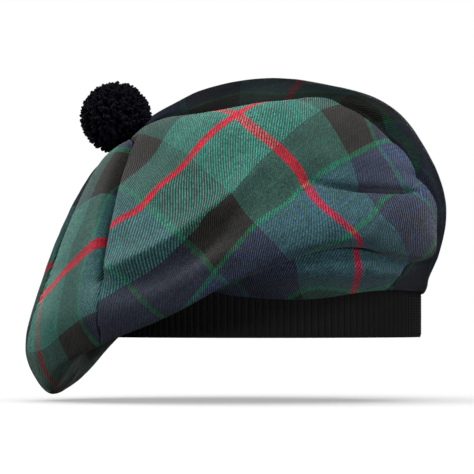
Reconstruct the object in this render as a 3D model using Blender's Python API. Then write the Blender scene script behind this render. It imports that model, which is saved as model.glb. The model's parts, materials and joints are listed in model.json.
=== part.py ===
"""Tam o' shanter: a slouched four-gore wool crown on a ribbed knitted band, with a toorie on top.

Metres, +Z up.  The origin is the centre of the band's lower rim, where the hat sits on a head.
+X points to the wearer's side that the crown rises over, -X to the side it slouches down, and -Y to
the side that is seen in a front view.

The crown is one smooth surface around the point where its four gores meet, under the toorie.  Every
row of SECTIONS is one vertical cut through it, and every row of FOLDS is one fold, crease or seam dip
pressed into it.  A place on the crown is named by two numbers: its section number, which runs around
the toorie, and its station, which runs down each cut from the toorie (0) to the band (10).
"""

from dataclasses import astuple, dataclass

import bmesh
import bpy
import numpy as np
from mathutils import Vector

# ---------------------------------------------------------------- driving dimensions
BAND_LENGTH = 0.202
BAND_WIDTH = 0.166
BAND_HEIGHT = 0.032
BAND_WALL = 0.0028
BAND_RIBS = 96
BAND_RIB_DEPTH = 0.0005
BAND_EDGE_ROUND = 0.0009

CROWN_LENGTH = 0.268
CROWN_WIDTH = 0.240
CROWN_CENTRE = (-0.0175, 0.004)
CLOTH_WALL = 0.0018
SEAM_GAP = 0.0006
FIT_GAP = 0.0006

TOP_POINT = (-0.0825, 0.0, 0.1275)
TOP_SLOPE = 0.95
TOP_FLAT_RADIUS = 0.009
TOP_HOLE_RADIUS = 0.0036

TOORIE_RADIUS = 0.022
TOORIE_HEAD_RADIUS = 0.0150
TOORIE_LIFT = 0.0187
TOORIE_BASE_CLEARANCE = 0.0028
TOORIE_STEM_RADIUS = 0.0030
TOORIE_KNOT_RADIUS = 0.0050
TOORIE_KNOT_HEIGHT = 0.0030
TOORIE_KNOT_END_RADIUS = 0.0030
LOCK_TAPER = 0.62
LOCK_UNEVENNESS = 0.0016
GOLDEN_SHARE = 0.6180339887

# Shares of a cut's full reach at which its upper heights are given.
UPPER_SHARE = 0.33
SHOULDER_SHARE = 0.62
BROW_SHARE = 0.84


@dataclass(frozen=True)
class Section:
    """One vertical cut through the crown, from the toorie outward.

    plan is its plan angle in degrees, and swing turns its inner end on by that many degrees more.
    The other values are metres: heights above the band's lower rim, and for hem, tuck and lobe also
    how far in they lie from the crown's widest line.
    """

    plan: float
    swing: float
    upper: float
    shoulder: float
    brow: float
    rim: float
    hem: float
    hem_in: float
    tuck: float
    tuck_in: float
    lobe: float
    lobe_in: float
    lip: float


# The four seams are sections 0 (right), 4 (near), 8 (left) and 12 (far).
SECTIONS = (
    # plan, swing, upper, shoulder, brow, rim, hem, in, tuck, in, lobe, in, lip
    Section(-19, 7, 0.145, 0.151, 0.137, 0.086, 0.052, 0.005, 0.048, 0.01, 0.039, 0.01, 0.028),
    Section(-38, 4, 0.141, 0.144, 0.115, 0.072, 0.0565, 0.004, 0.0585, 0.013, 0.042, 0.008, 0.024),
    Section(-58, 3, 0.139, 0.128, 0.096, 0.057, 0.037, 0.005, 0.041, 0.015, 0.036, 0.021, 0.027),
    Section(-79, 4, 0.133, 0.109, 0.075, 0.034, 0.012, 0.008, 0.017, 0.019, 0.026, 0.031, 0.0295),
    Section(-104, 10, 0.124, 0.093, 0.057, 0.015, -0.005, 0.01, 0.003, 0.022, 0.018, 0.034, 0.0295),
    Section(-117, 4, 0.12, 0.088, 0.05, 0.0075, -0.0125, 0.012, -0.004, 0.024, 0.0125, 0.0355, 0.0295),
    Section(-131, -3, 0.1165, 0.0845, 0.045, 0.002, -0.02, 0.0135, -0.0105, 0.0255, 0.0075, 0.0365, 0.0295),
    Section(-145, -9, 0.1135, 0.0815, 0.0425, -0.0025, -0.0265, 0.015, -0.0165, 0.026, 0.0045, 0.037, 0.0295),
    Section(-160, -13, 0.1115, 0.0795, 0.041, -0.008, -0.0315, 0.015, -0.02, 0.027, 0.0015, 0.0375, 0.0295),
    Section(-184, -9, 0.1105, 0.0785, 0.0405, -0.012, -0.036, 0.015, -0.0245, 0.0285, -0.001, 0.0385, 0.0295),
    Section(-211, -4, 0.1135, 0.083, 0.043, -0.01, -0.0355, 0.0155, -0.0245, 0.03, -0.0005, 0.04, 0.0295),
    Section(-241, 0, 0.1225, 0.0965, 0.059, 0.008, -0.0205, 0.0165, -0.0115, 0.03, 0.0075, 0.0425, 0.0295),
    Section(-272, 0, 0.138, 0.121, 0.087, 0.035, 0.012, 0.013, 0.0155, 0.0275, 0.0225, 0.043, 0.0295),
    Section(-299, 0, 0.152, 0.149, 0.1155, 0.059, 0.031, 0.0105, 0.03, 0.023, 0.029, 0.038, 0.0285),
    Section(-324, 3, 0.1605, 0.165, 0.1375, 0.0765, 0.0435, 0.0085, 0.035, 0.016, 0.03, 0.0255, 0.026),
    Section(-350, 5, 0.1565, 0.1625, 0.1455, 0.087, 0.0535, 0.0045, 0.0445, 0.0075, 0.0355, 0.0125, 0.027),
)
RIM_STATION = 5.0
LAST_STATION = 10.0
EDGE_RUN = 0.004


@dataclass(frozen=True)
class Fold:
    """One fold line on the crown, through three places given as (section, station).

    heights are its rise (or, below zero, its depth) at those places.  below and above are its half
    widths to the right and to the left of its own direction, sharpness shapes its cross-section
    (2 round, near 1 a crease), and lap is how far the cloth on its left is drawn over it.
    """

    name: str
    start: tuple
    middle: tuple
    end: tuple
    heights: tuple
    below: float
    above: float
    sharpness: float = 2.0
    lap: float = 0.0


FOLDS = (
    # The seen side: the tuck and the hollows that run from it, the long ridge, and the dips at the seams.
    Fold("near_tuck", (1.06, 4.22), (0.46, 4.50), (-0.12, 4.84), (-0.0015, -0.0085, -0.0040),
         0.005, 0.011, 1.2, 0.0045),
    Fold("near_tuck_lip", (0.95, 4.02), (0.50, 4.28), (0.12, 4.50), (0.0005, 0.0020, 0.0010), 0.008, 0.008),
    Fold("near_valley", (1.02, 4.25), (1.36, 4.40), (1.75, 4.56), (-0.0025, -0.0034, -0.0008),
         0.009, 0.009, 1.7),
    Fold("near_bulge", (1.30, 4.85), (0.80, 4.95), (0.25, 5.10), (0.0005, 0.0032, 0.0010), 0.013, 0.012),
    Fold("near_ridge", (3.85, 4.35), (2.60, 4.42), (1.58, 3.92), (0.0005, 0.0036, 0.0015),
         0.009, 0.020, 1.7),
    Fold("near_hollow", (3.50, 4.60), (2.95, 4.66), (2.30, 4.66), (-0.0005, -0.0020, -0.0005), 0.008, 0.007),
    Fold("near_low_ridge", (3.30, 5.05), (2.60, 5.02), (2.00, 4.95), (0.0003, 0.0018, 0.0003), 0.009, 0.009),
    Fold("near_top_swell", (2.40, 2.60), (1.70, 3.05), (1.00, 3.45), (0.0005, 0.0022, 0.0005), 0.020, 0.020),
    Fold("right_tuck", (-0.05, 4.70), (-0.36, 4.86), (-0.55, 5.35), (-0.0020, -0.0058, -0.0045),
         0.006, 0.009, 1.3, 0.0030),
    Fold("right_fold", (-0.20, 5.30), (-0.50, 5.75), (-0.45, 6.60), (-0.0005, -0.0030, -0.0010),
         0.008, 0.008),
    Fold("near_seam_tuck", (4.02, 1.40), (4.00, 3.00), (4.00, 4.60), (-0.0005, -0.0052, -0.0016),
         0.006, 0.005, 1.2, 0.0030),
    Fold("near_seam_edge", (3.78, 1.70), (3.74, 3.00), (3.78, 4.40), (0.0005, 0.0022, 0.0005), 0.006, 0.006),
    Fold("left_groove", (4.22, 3.10), (4.45, 4.00), (4.35, 4.70), (-0.0003, -0.0022, -0.0005), 0.006, 0.006),
    Fold("left_drape", (5.60, 3.40), (5.90, 4.40), (6.00, 5.40), (0.0003, 0.0022, 0.0010), 0.013, 0.013),
    Fold("left_pucker", (4.30, 5.00), (4.10, 5.45), (3.70, 5.80), (-0.0005, -0.0022, -0.0005), 0.006, 0.006),
    Fold("right_seam_dip", (0.00, 1.40), (-0.05, 2.60), (-0.02, 4.20), (-0.0005, -0.0030, -0.0015),
         0.009, 0.012, 1.4),
    # The side away from view: softer folds of the same kinds.
    Fold("left_seam_dip", (8.00, 1.40), (8.00, 3.20), (8.00, 5.20), (-0.0003, -0.0016, -0.0008),
         0.006, 0.006, 1.4),
    Fold("far_seam_dip", (12.00, 1.40), (12.00, 2.90), (12.00, 5.00), (-0.0003, -0.0022, -0.0010),
         0.007, 0.007, 1.4),
    Fold("far_tuck", (14.80, 4.30), (14.10, 4.62), (13.20, 4.60), (-0.0010, -0.0055, -0.0010),
         0.008, 0.012, 1.4),
    Fold("far_swell", (14.90, 5.10), (14.00, 5.20), (13.00, 4.95), (0.0005, 0.0032, 0.0005), 0.014, 0.014),
    Fold("far_low_fold", (13.60, 5.55), (12.80, 5.50), (11.80, 5.00), (-0.0005, -0.0036, -0.0005),
         0.010, 0.010),
    Fold("far_drape", (11.40, 2.60), (11.00, 3.80), (10.80, 5.20), (0.0003, 0.0026, 0.0008), 0.014, 0.014),
    Fold("far_left_hollow", (10.00, 3.00), (9.90, 4.20), (9.70, 5.30), (-0.0003, -0.0022, -0.0010),
         0.012, 0.012),
    Fold("far_left_drape", (9.10, 3.80), (9.00, 4.60), (9.00, 5.60), (0.0002, 0.0012, 0.0006), 0.011, 0.011),
)
FOLD_STEPS = 41
FOLD_MARGIN = 3.0

# A fold grips cloth that faces its own way, and lets go of it as the facing turns off.
FACING_GAIN = 1.5
FACING_START = 0.3

# Where a lap's pull is strongest, as a share of the upper half width, and how much it also lifts.
LAP_MIDDLE = 0.55
LAP_LIFT = 0.35


@dataclass(frozen=True)
class Panel:
    """One gore of the crown: its first section, and how many faces it has across."""

    name: str
    first_section: int
    across: int
    colour: tuple


SECTIONS_PER_PANEL = 4
TOP_LAST_STATION = 4.0
FACES_DOWN_TOP = 9
FACES_DOWN_EDGE = 18
PANELS = (
    Panel("crown_panel_near", 0, 21, (0.023, 0.150, 0.105, 1.0)),
    Panel("crown_panel_left", 4, 12, (0.020, 0.110, 0.085, 1.0)),
    Panel("crown_panel_far_left", 8, 12, (0.020, 0.120, 0.092, 1.0)),
    Panel("crown_panel_far", 12, 19, (0.022, 0.135, 0.098, 1.0)),
)


# ---------------------------------------------------------------- the crown's surface
def reach(angle, centre, length, width):
    """Horizontal distance from the top point to an upright ellipse, at plan angles in radians."""
    half_length = length / 2
    half_width = width / 2
    from_x = TOP_POINT[0] - centre[0]
    from_y = TOP_POINT[1] - centre[1]
    way_x = np.cos(angle)
    way_y = np.sin(angle)
    square = (way_x / half_length) ** 2 + (way_y / half_width) ** 2
    linear = 2 * (from_x * way_x / half_length**2 + from_y * way_y / half_width**2)
    rest = (from_x / half_length) ** 2 + (from_y / half_width) ** 2 - 1
    return (-linear + np.sqrt(linear**2 - 4 * square * rest)) / (2 * square)


def section_values(section):
    """Every column of SECTIONS at section numbers that may lie between rows, smoothly."""
    table = np.array([astuple(row) for row in SECTIONS])
    count = len(table)
    row = np.floor(section).astype(int)
    share = (section - row)[:, None]
    turns = np.zeros(table.shape[1])
    turns[0] = -360.0
    before, here, after, beyond = (
        table[(row + step) % count] + ((row + step) // count)[:, None] * turns for step in (-1, 0, 1, 2)
    )
    return here + 0.5 * share * (
        after - before
        + share * (
            2 * before - 5 * here + 4 * after - beyond
            + share * (3 * here - before - 3 * after + beyond)
        )
    )


def run_along(knots, station):
    """Places on the smooth curves through knots (curve, knot, 2), at stations (curve, place)."""
    spacing = np.sqrt(np.linalg.norm(np.diff(knots, axis=1), axis=2))
    slope = np.diff(knots, axis=1) / spacing[..., None]
    tangent = np.empty_like(knots)
    weight = spacing[:, 1:] / (spacing[:, 1:] + spacing[:, :-1])
    tangent[:, 1:-1] = slope[:, :-1] * weight[..., None] + slope[:, 1:] * (1 - weight[..., None])
    tangent[:, 0] = slope[:, 0]
    tangent[:, -1] = slope[:, -1]
    curve = np.arange(len(knots))[:, None]
    knot = np.clip(np.floor(station).astype(int), 0, knots.shape[1] - 2)
    share = (station - knot)[..., None]
    stretch = spacing[curve, knot][..., None]
    near, far = knots[curve, knot], knots[curve, knot + 1]
    leave, arrive = tangent[curve, knot] * stretch, tangent[curve, knot + 1] * stretch
    return (
        near * (1 + share**2 * (2 * share - 3))
        + leave * share * (1 - share) ** 2
        + far * share**2 * (3 - 2 * share)
        + arrive * share**2 * (share - 1)
    )


def edge_knots(angle, lobe_out, lobe, lip):
    """The last two knots of each cut, which lead the cloth's cut edge straight up to the band."""
    band = reach(angle, (0.0, 0.0), BAND_LENGTH, BAND_WIDTH)
    way = np.stack([band - lobe_out, lip - lobe], -1)
    way /= np.linalg.norm(way, axis=1, keepdims=True)
    standoff = FIT_GAP + CLOTH_WALL * np.clip(-way[:, 1], 0, 1)
    ring = reach(angle, (0.0, 0.0), BAND_LENGTH + 2 * standoff, BAND_WIDTH + 2 * standoff)
    edge = np.stack([ring, lip], -1)
    return edge - EDGE_RUN * way, edge


def smooth_crown(section, station):
    """Points of the crown before its folds, at section (cut,) and station (cut, place)."""
    (plan, swing, upper, shoulder, brow, rim, hem, hem_in,
     tuck, tuck_in, lobe, lobe_in, lip) = section_values(section).T
    angle = np.radians(plan)
    widest = reach(angle, CROWN_CENTRE, CROWN_LENGTH, CROWN_WIDTH)
    level = np.zeros_like(angle)
    top = TOP_POINT[2]
    knots = np.stack([
        np.stack([level, level + top], -1),
        np.stack([level + TOP_FLAT_RADIUS, top + TOP_FLAT_RADIUS * TOP_SLOPE * np.cos(angle)], -1),
        np.stack([UPPER_SHARE * widest, upper], -1),
        np.stack([SHOULDER_SHARE * widest, shoulder], -1),
        np.stack([BROW_SHARE * widest, brow], -1),
        np.stack([widest, rim], -1),
        np.stack([widest - hem_in, hem], -1),
        np.stack([widest - tuck_in, tuck], -1),
        np.stack([widest - lobe_in, lobe], -1),
        *edge_knots(angle, widest - lobe_in, lobe, lip),
    ], 1)
    profile = run_along(knots, station)
    outward, height = profile[..., 0], profile[..., 1]
    inner_share = np.clip(1 - station / RIM_STATION, 0, 1)
    way = angle[:, None] + np.radians(swing)[:, None] * inner_share
    return np.stack([
        TOP_POINT[0] + outward * np.cos(way),
        TOP_POINT[1] + outward * np.sin(way),
        height,
    ], -1)


def outward_normals(surface, section, station):
    """Unit normals of a surface function, from its values close by."""
    step = 1e-3
    around = surface(section + step, station) - surface(section - step, station)
    down = surface(section, station + step) - surface(section, station - step)
    normal = np.cross(around, down)
    return normal / np.linalg.norm(normal, axis=-1, keepdims=True)


def through_three(values, share):
    """A quadratic through three values (or places) at shares 0, 1/2 and 1 of the way."""
    first, middle, last = (np.asarray(value, float) for value in values)
    share = share[:, None] if first.ndim else share
    return (
        first * (2 * share - 1) * (share - 1)
        + middle * 4 * share * (1 - share)
        + last * share * (2 * share - 1)
    )


class FoldLine:
    """A Fold laid out on the smooth crown, ready to press its shape into points near it."""

    def __init__(self, fold):
        share = np.linspace(0.0, 1.0, FOLD_STEPS)
        places = through_three((fold.start, fold.middle, fold.end), share)
        section, station = places[:, 0], places[:, 1:]
        self.fold = fold
        self.points = smooth_crown(section, station)[:, 0]
        self.normals = outward_normals(smooth_crown, section, station)[:, 0]
        run = np.gradient(self.points, axis=0)
        self.run = run / np.linalg.norm(run, axis=1, keepdims=True)
        self.side = np.cross(self.normals, self.run)
        self.heights = through_three(fold.heights, share)
        self.grip = np.abs(self.heights) / np.abs(self.heights).max()

    def shift(self, points, normals):
        """How far the fold moves these points of the smooth crown."""
        fold = self.fold
        move = np.zeros_like(points)
        margin = FOLD_MARGIN * max(fold.below, fold.above)
        low, high = self.points.min(0) - margin, self.points.max(0) + margin
        near = np.flatnonzero(np.all((points > low) & (points < high), axis=1))
        if not len(near):
            return move
        away = points[near][:, None, :] - self.points[None]
        closest = (away**2).sum(-1).argmin(1)
        away = away[np.arange(len(near)), closest]
        side = (away * self.side[closest]).sum(1)
        at_end = (closest == 0) | (closest == FOLD_STEPS - 1)
        past = np.where(at_end, np.abs((away * self.run[closest]).sum(1)), 0.0)
        distance = np.hypot(side, past)
        lean = side / np.maximum(distance, 1e-9)
        half_width = fold.below + (fold.above - fold.below) * (0.5 + 0.5 * lean)
        facing = (normals[near] * self.normals[closest]).sum(1)
        same_cloth = np.clip(FACING_GAIN * facing + FACING_START, 0, 1)
        press = self.heights[closest] * np.exp(-(distance / half_width) ** fold.sharpness) * same_cloth
        move[near] = press[:, None] * normals[near]
        if fold.lap:
            middle = LAP_MIDDLE * fold.above
            pull = np.exp(-((side - middle) / middle) ** 2 - (past / fold.above) ** 2)
            pull *= fold.lap * same_cloth * self.grip[closest]
            move[near] += pull[:, None] * (LAP_LIFT * normals[near] - self.side[closest])
        return move


FOLD_LINES = tuple(FoldLine(fold) for fold in FOLDS)


def folded_crown(section, station):
    """Points of the crown's outer surface with every fold, at section (cut,), station (cut, place)."""
    smooth = smooth_crown(section, station)
    points = smooth.reshape(-1, 3)
    normals = outward_normals(smooth_crown, section, station).reshape(-1, 3)
    move = sum(line.shift(points, normals) for line in FOLD_LINES)
    return (points + move).reshape(smooth.shape)


# ---------------------------------------------------------------- meshes and objects
def make_material(name, colour, roughness):
    """A Principled BSDF material of one plain colour."""
    material = bpy.data.materials.new(name)
    material.use_nodes = True
    shader = material.node_tree.nodes["Principled BSDF"]
    shader.inputs["Base Color"].default_value = colour
    shader.inputs["Roughness"].default_value = roughness
    shader.inputs["Metallic"].default_value = 0.0
    return material


def place_object(name, mesh, material, parent):
    """Link a mesh as a named object under the hat's empty."""
    mesh.materials.append(material)
    mesh.shade_smooth()
    piece = bpy.data.objects.new(name, mesh)
    bpy.context.collection.objects.link(piece)
    piece.parent = parent
    return piece


def grid_faces(across, down):
    """Quads of a closed slab: outer grid, inner grid after it, and the walls between their edges."""
    count = (across + 1) * (down + 1)
    outer = np.arange(count).reshape(across + 1, down + 1)
    inner = outer + count
    faces = []
    for column in range(across):
        for row in range(down):
            corners = ((column, row), (column + 1, row), (column + 1, row + 1), (column, row + 1))
            faces.append([outer[corner] for corner in corners])
            faces.append([inner[corner] for corner in reversed(corners)])
    border = [(column, 0) for column in range(across)]
    border += [(across, row) for row in range(down)]
    border += [(column, down) for column in range(across, 0, -1)]
    border += [(0, row) for row in range(down, 0, -1)]
    for place, following in zip(border, border[1:] + border[:1]):
        faces.append([outer[following], outer[place], inner[place], inner[following]])
    return faces


def pull_edges_in(points):
    """Move a panel's two seam edges in by half the seam gap, and what lies between with them."""
    pulls = []
    for edge, inside in ((0, 1), (-1, -2)):
        seam = np.gradient(points[edge], axis=0)
        seam /= np.linalg.norm(seam, axis=1, keepdims=True)
        way = points[inside] - points[edge]
        way -= (way * seam).sum(1, keepdims=True) * seam
        pulls.append(0.5 * SEAM_GAP * way / np.linalg.norm(way, axis=1, keepdims=True))
    share = np.linspace(0.0, 1.0, len(points))[:, None, None]
    return points + (1 - share) * pulls[0] + share * pulls[1]


def panel_stations(section):
    """Stations down every cut of a panel, starting on a round hole at the top point."""
    plan = np.radians(section_values(section)[:, 0])
    hole = TOP_HOLE_RADIUS / np.hypot(1.0, TOP_SLOPE * np.cos(plan)) / TOP_FLAT_RADIUS
    top = np.linspace(0.0, 1.0, FACES_DOWN_TOP, endpoint=False)
    edge = np.linspace(TOP_LAST_STATION, LAST_STATION, FACES_DOWN_EDGE + 1)
    rows = [hole[:, None] + (TOP_LAST_STATION - hole[:, None]) * top]
    rows.append(np.broadcast_to(edge, (len(section), len(edge))))
    return np.concatenate(rows, axis=1)


def build_panel(panel, parent):
    """One gore as a closed sheet of cloth."""
    section = panel.first_section + np.linspace(0, SECTIONS_PER_PANEL, panel.across + 1)
    station = panel_stations(section)
    outer = folded_crown(section, station)
    inner = outer - CLOTH_WALL * outward_normals(smooth_crown, section, station)
    points = np.concatenate([pull_edges_in(outer).reshape(-1, 3), pull_edges_in(inner).reshape(-1, 3)])
    mesh = bpy.data.meshes.new(panel.name)
    mesh.from_pydata(points.tolist(), [], grid_faces(panel.across, FACES_DOWN_TOP + FACES_DOWN_EDGE))
    material = make_material(panel.name + "_wool", panel.colour, 0.9)
    return place_object(panel.name, mesh, material, parent)


def band_profile():
    """The band's cross-section as (offset from its middle line, height), counter-clockwise."""
    half = BAND_WALL / 2
    edge = BAND_EDGE_ROUND
    return (
        (-half + edge, 0.0),
        (half - edge, 0.0),
        (half, edge),
        (half, BAND_HEIGHT),
        (-half, BAND_HEIGHT),
        (-half, edge),
    )


def build_band(parent):
    """The knitted band: an oval ring whose outer and inner faces are ribbed."""
    steps = 2 * BAND_RIBS
    ring = []
    for offset, height in band_profile():
        on_face = abs(offset) > BAND_WALL / 2 - BAND_EDGE_ROUND / 2
        loop = []
        for step in range(steps):
            angle = 2 * np.pi * step / steps
            groove = BAND_RIB_DEPTH * (step % 2) * np.sign(offset) if on_face else 0.0
            half_length = (BAND_LENGTH - BAND_WALL) / 2 + offset - groove
            half_width = (BAND_WIDTH - BAND_WALL) / 2 + offset - groove
            loop.append((half_length * np.cos(angle), half_width * np.sin(angle), height))
        ring.append(loop)
    points = [point for loop in ring for point in loop]
    rows = len(ring)
    faces = []
    for row in range(rows):
        here, there = row * steps, (row + 1) % rows * steps
        for step in range(steps):
            following = (step + 1) % steps
            faces.append((here + step, here + following, there + following, there + step))
    mesh = bpy.data.meshes.new("band")
    mesh.from_pydata(points, [], faces)
    material = make_material("band_knit", (0.006, 0.006, 0.008, 1.0), 0.85)
    return place_object("band", mesh, material, parent)


def uneven(number):
    """A repeatable value between -1 and 1 for each whole number."""
    return 2.0 * ((number * GOLDEN_SHARE) % 1.0) - 1.0


def add_lock(mesh, face, number):
    """Grow one tapered lock of yarn from a face of the toorie's head."""
    way = face.calc_center_median().normalized()
    length = TOORIE_RADIUS - 0.5 * LOCK_UNEVENNESS * (1 + uneven(number))
    if way.z < 0:
        length = min(length, (TOORIE_LIFT - TOORIE_BASE_CLEARANCE) / -way.z)
    tip = bmesh.ops.extrude_discrete_faces(mesh, faces=[face])["faces"][0]
    middle = way * length
    for vertex in tip.verts:
        spread = vertex.co - vertex.co.dot(way) * way
        vertex.co = middle + LOCK_TAPER * length / TOORIE_HEAD_RADIUS * spread


def grow_stem(mesh, face):
    """Draw the yarn tie from the toorie's base through the cloth to a knot under it."""
    cloth_under = TOORIE_LIFT + CLOTH_WALL + FIT_GAP
    rings = (
        (TOORIE_STEM_RADIUS, TOORIE_HEAD_RADIUS),
        (TOORIE_STEM_RADIUS, cloth_under),
        (TOORIE_KNOT_RADIUS, cloth_under),
        (TOORIE_KNOT_RADIUS, cloth_under + 0.5 * TOORIE_KNOT_HEIGHT),
        (TOORIE_KNOT_END_RADIUS, cloth_under + TOORIE_KNOT_HEIGHT),
    )
    for radius, depth in rings:
        face = bmesh.ops.extrude_discrete_faces(mesh, faces=[face])["faces"][0]
        for vertex in face.verts:
            flat = Vector((vertex.co.x, vertex.co.y, 0.0)).normalized() * radius
            vertex.co = (flat.x, flat.y, -depth)


def build_toorie(parent):
    """The toorie: short locks of yarn all over a round head, tied through the crown's top point."""
    mesh = bmesh.new()
    bmesh.ops.create_icosphere(mesh, subdivisions=3, radius=TOORIE_HEAD_RADIUS)
    lowest = min(mesh.verts, key=lambda vertex: vertex.co.z)
    bmesh.ops.dissolve_verts(mesh, verts=[lowest])
    bottom = min(mesh.faces, key=lambda face: face.calc_center_median().z)
    locks = [face for face in mesh.faces if face is not bottom]
    for number, face in enumerate(locks):
        add_lock(mesh, face, number)
    grow_stem(mesh, bottom)
    bmesh.ops.triangulate(mesh, faces=mesh.faces[:])
    data = bpy.data.meshes.new("toorie")
    mesh.to_mesh(data)
    mesh.free()
    material = make_material("toorie_yarn", (0.004, 0.004, 0.009, 1.0), 0.95)
    toorie = place_object("toorie", data, material, parent)
    upright = Vector((-TOP_SLOPE, 0.0, 1.0)).normalized()
    toorie.rotation_euler = upright.to_track_quat("Z", "Y").to_euler()
    toorie.location = Vector(TOP_POINT) + TOORIE_LIFT * upright
    return toorie


def main():
    """Clear the scene and build the hat."""
    for old in list(bpy.data.objects):
        bpy.data.objects.remove(old)
    hat = bpy.data.objects.new("tam_o_shanter", None)
    bpy.context.collection.objects.link(hat)
    build_band(hat)
    for panel in PANELS:
        build_panel(panel, hat)
    build_toorie(hat)


main()
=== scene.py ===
"""Tam o' shanter: the finish of a slouched tartan cap, its ribbed knitted band and its yarn toorie.

Metres, +Z up.  The origin is the centre of the band's lower rim, +X points to the side that the crown
rises over, -X to the side that it hangs down, and -Y to the side that is seen in front.

The crown is made here as four gores of twill-woven wool, on nearly the same sections and folds as its
solids but finely enough to show the cloth, with the seams turned in.  The tartan is laid out on each
gore as it is cut, flat, before it is sewn.  The band is knitted stitch by stitch and the toorie is tied
from plied yarn, both with Geometry Nodes.
"""

import json
import logging
import math
from dataclasses import astuple, dataclass, field, replace
from enum import Enum

import bpy
import numpy as np
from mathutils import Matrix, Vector, noise

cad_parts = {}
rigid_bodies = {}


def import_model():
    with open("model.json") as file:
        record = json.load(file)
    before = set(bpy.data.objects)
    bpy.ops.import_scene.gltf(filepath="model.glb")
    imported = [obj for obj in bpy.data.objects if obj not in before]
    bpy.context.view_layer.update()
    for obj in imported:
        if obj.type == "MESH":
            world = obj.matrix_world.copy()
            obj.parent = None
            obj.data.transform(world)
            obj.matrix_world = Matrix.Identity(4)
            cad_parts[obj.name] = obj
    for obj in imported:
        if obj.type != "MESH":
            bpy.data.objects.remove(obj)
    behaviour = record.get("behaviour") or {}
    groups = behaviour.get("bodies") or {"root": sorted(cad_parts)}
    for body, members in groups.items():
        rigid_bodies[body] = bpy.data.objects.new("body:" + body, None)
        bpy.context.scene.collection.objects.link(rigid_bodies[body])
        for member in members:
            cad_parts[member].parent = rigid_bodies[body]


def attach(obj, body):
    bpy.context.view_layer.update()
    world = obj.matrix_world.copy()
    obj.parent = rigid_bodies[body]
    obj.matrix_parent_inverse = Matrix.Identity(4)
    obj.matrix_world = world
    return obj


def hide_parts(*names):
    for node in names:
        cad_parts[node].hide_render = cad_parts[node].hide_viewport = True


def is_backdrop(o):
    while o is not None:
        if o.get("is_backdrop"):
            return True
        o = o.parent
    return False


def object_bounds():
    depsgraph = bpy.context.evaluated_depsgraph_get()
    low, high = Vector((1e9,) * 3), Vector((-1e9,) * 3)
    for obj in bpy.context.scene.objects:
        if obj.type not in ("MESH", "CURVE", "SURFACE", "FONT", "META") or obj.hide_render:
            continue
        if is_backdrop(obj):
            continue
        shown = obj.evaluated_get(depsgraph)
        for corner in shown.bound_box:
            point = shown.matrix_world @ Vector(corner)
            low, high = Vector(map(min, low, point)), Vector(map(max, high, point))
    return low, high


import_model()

LOG = logging.getLogger("tam_o_shanter")
BODY = "root"


# ---------------------------------------------------------------- shared helpers
def linear(hex_colour: str) -> tuple:
    """Turn an sRGB hex colour such as "#2a7a66" to linear light.

    Args:
        hex_colour: a number sign and six hex digits.

    Returns:
        Red, green, blue and an alpha of 1.
    """
    channels = [int(hex_colour[place:place + 2], 16) / 255 for place in (1, 3, 5)]
    light = [c / 12.92 if c <= 0.04045 else ((c + 0.055) / 1.055) ** 2.4 for c in channels]
    return (*light, 1.0)


def add_node(tree: bpy.types.NodeTree, kind: str, inputs: dict | None = None, **settings) -> bpy.types.Node:
    """Add a node to a tree, with its inputs and its settings.

    Args:
        tree: the tree that it goes in.
        kind: Blender's name for the node.
        inputs: for each input's name or number, a plain value, the output that feeds it, or a node
            whose first output does.
        settings: values for the node's own properties.

    Returns:
        The node.
    """
    node = tree.nodes.new(kind)
    for name, value in settings.items():
        setattr(node, name, value)
    for key, value in (inputs or {}).items():
        if isinstance(value, bpy.types.Node):
            value = value.outputs[0]
        if isinstance(value, bpy.types.NodeSocket):
            tree.links.new(value, node.inputs[key])
        else:
            node.inputs[key].default_value = value
    return node


def place_piece(name: str, mesh: bpy.types.Mesh, nodes: list) -> bpy.types.Object:
    """Link a finished mesh as a piece of the hat.

    Args:
        name: the piece's name.
        mesh: its mesh, in the hat's own frame.
        nodes: the solids that it stands for.

    Returns:
        The piece.
    """
    piece = bpy.data.objects.new(name, mesh)
    bpy.context.scene.collection.objects.link(piece)
    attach(piece, BODY)
    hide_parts(*nodes)
    LOG.info("%s: %d triangles", name, sum(len(face.vertices) - 2 for face in mesh.polygons))
    return piece


def mesh_from_grid(name: str, outer: np.ndarray, inner: np.ndarray, closed: bool) -> bpy.types.Mesh:
    """A closed slab between two grids of points.

    Args:
        name: the mesh's name.
        outer: outer points, (column, row, 3).
        inner: inner points, of the same shape.
        closed: whether the last column joins the first.

    Returns:
        The mesh, its outer face first.
    """
    columns, rows = outer.shape[:2]
    index = np.arange(columns * rows).reshape(columns, rows)
    if closed:
        index = np.concatenate([index, index[:1]])
    here, right, low_right, low = index[:-1, :-1], index[1:, :-1], index[1:, 1:], index[:-1, 1:]
    count = columns * rows
    sheets = [
        np.stack([here, right, low_right, low], -1).reshape(-1, 4),
        np.stack([here, low, low_right, right], -1).reshape(-1, 4) + count,
    ]
    edges = [index[::-1, 0], index[:, -1]]
    if not closed:
        edges += [index[0], index[-1, ::-1]]
    for edge in edges:
        sheets.append(np.stack([edge[:-1], edge[1:], edge[1:] + count, edge[:-1] + count], -1))
    mesh = bpy.data.meshes.new(name)
    points = np.concatenate([outer.reshape(-1, 3), inner.reshape(-1, 3)])
    mesh.from_pydata(points.tolist(), [], np.concatenate(sheets).tolist())
    mesh.shade_smooth()
    return mesh


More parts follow.
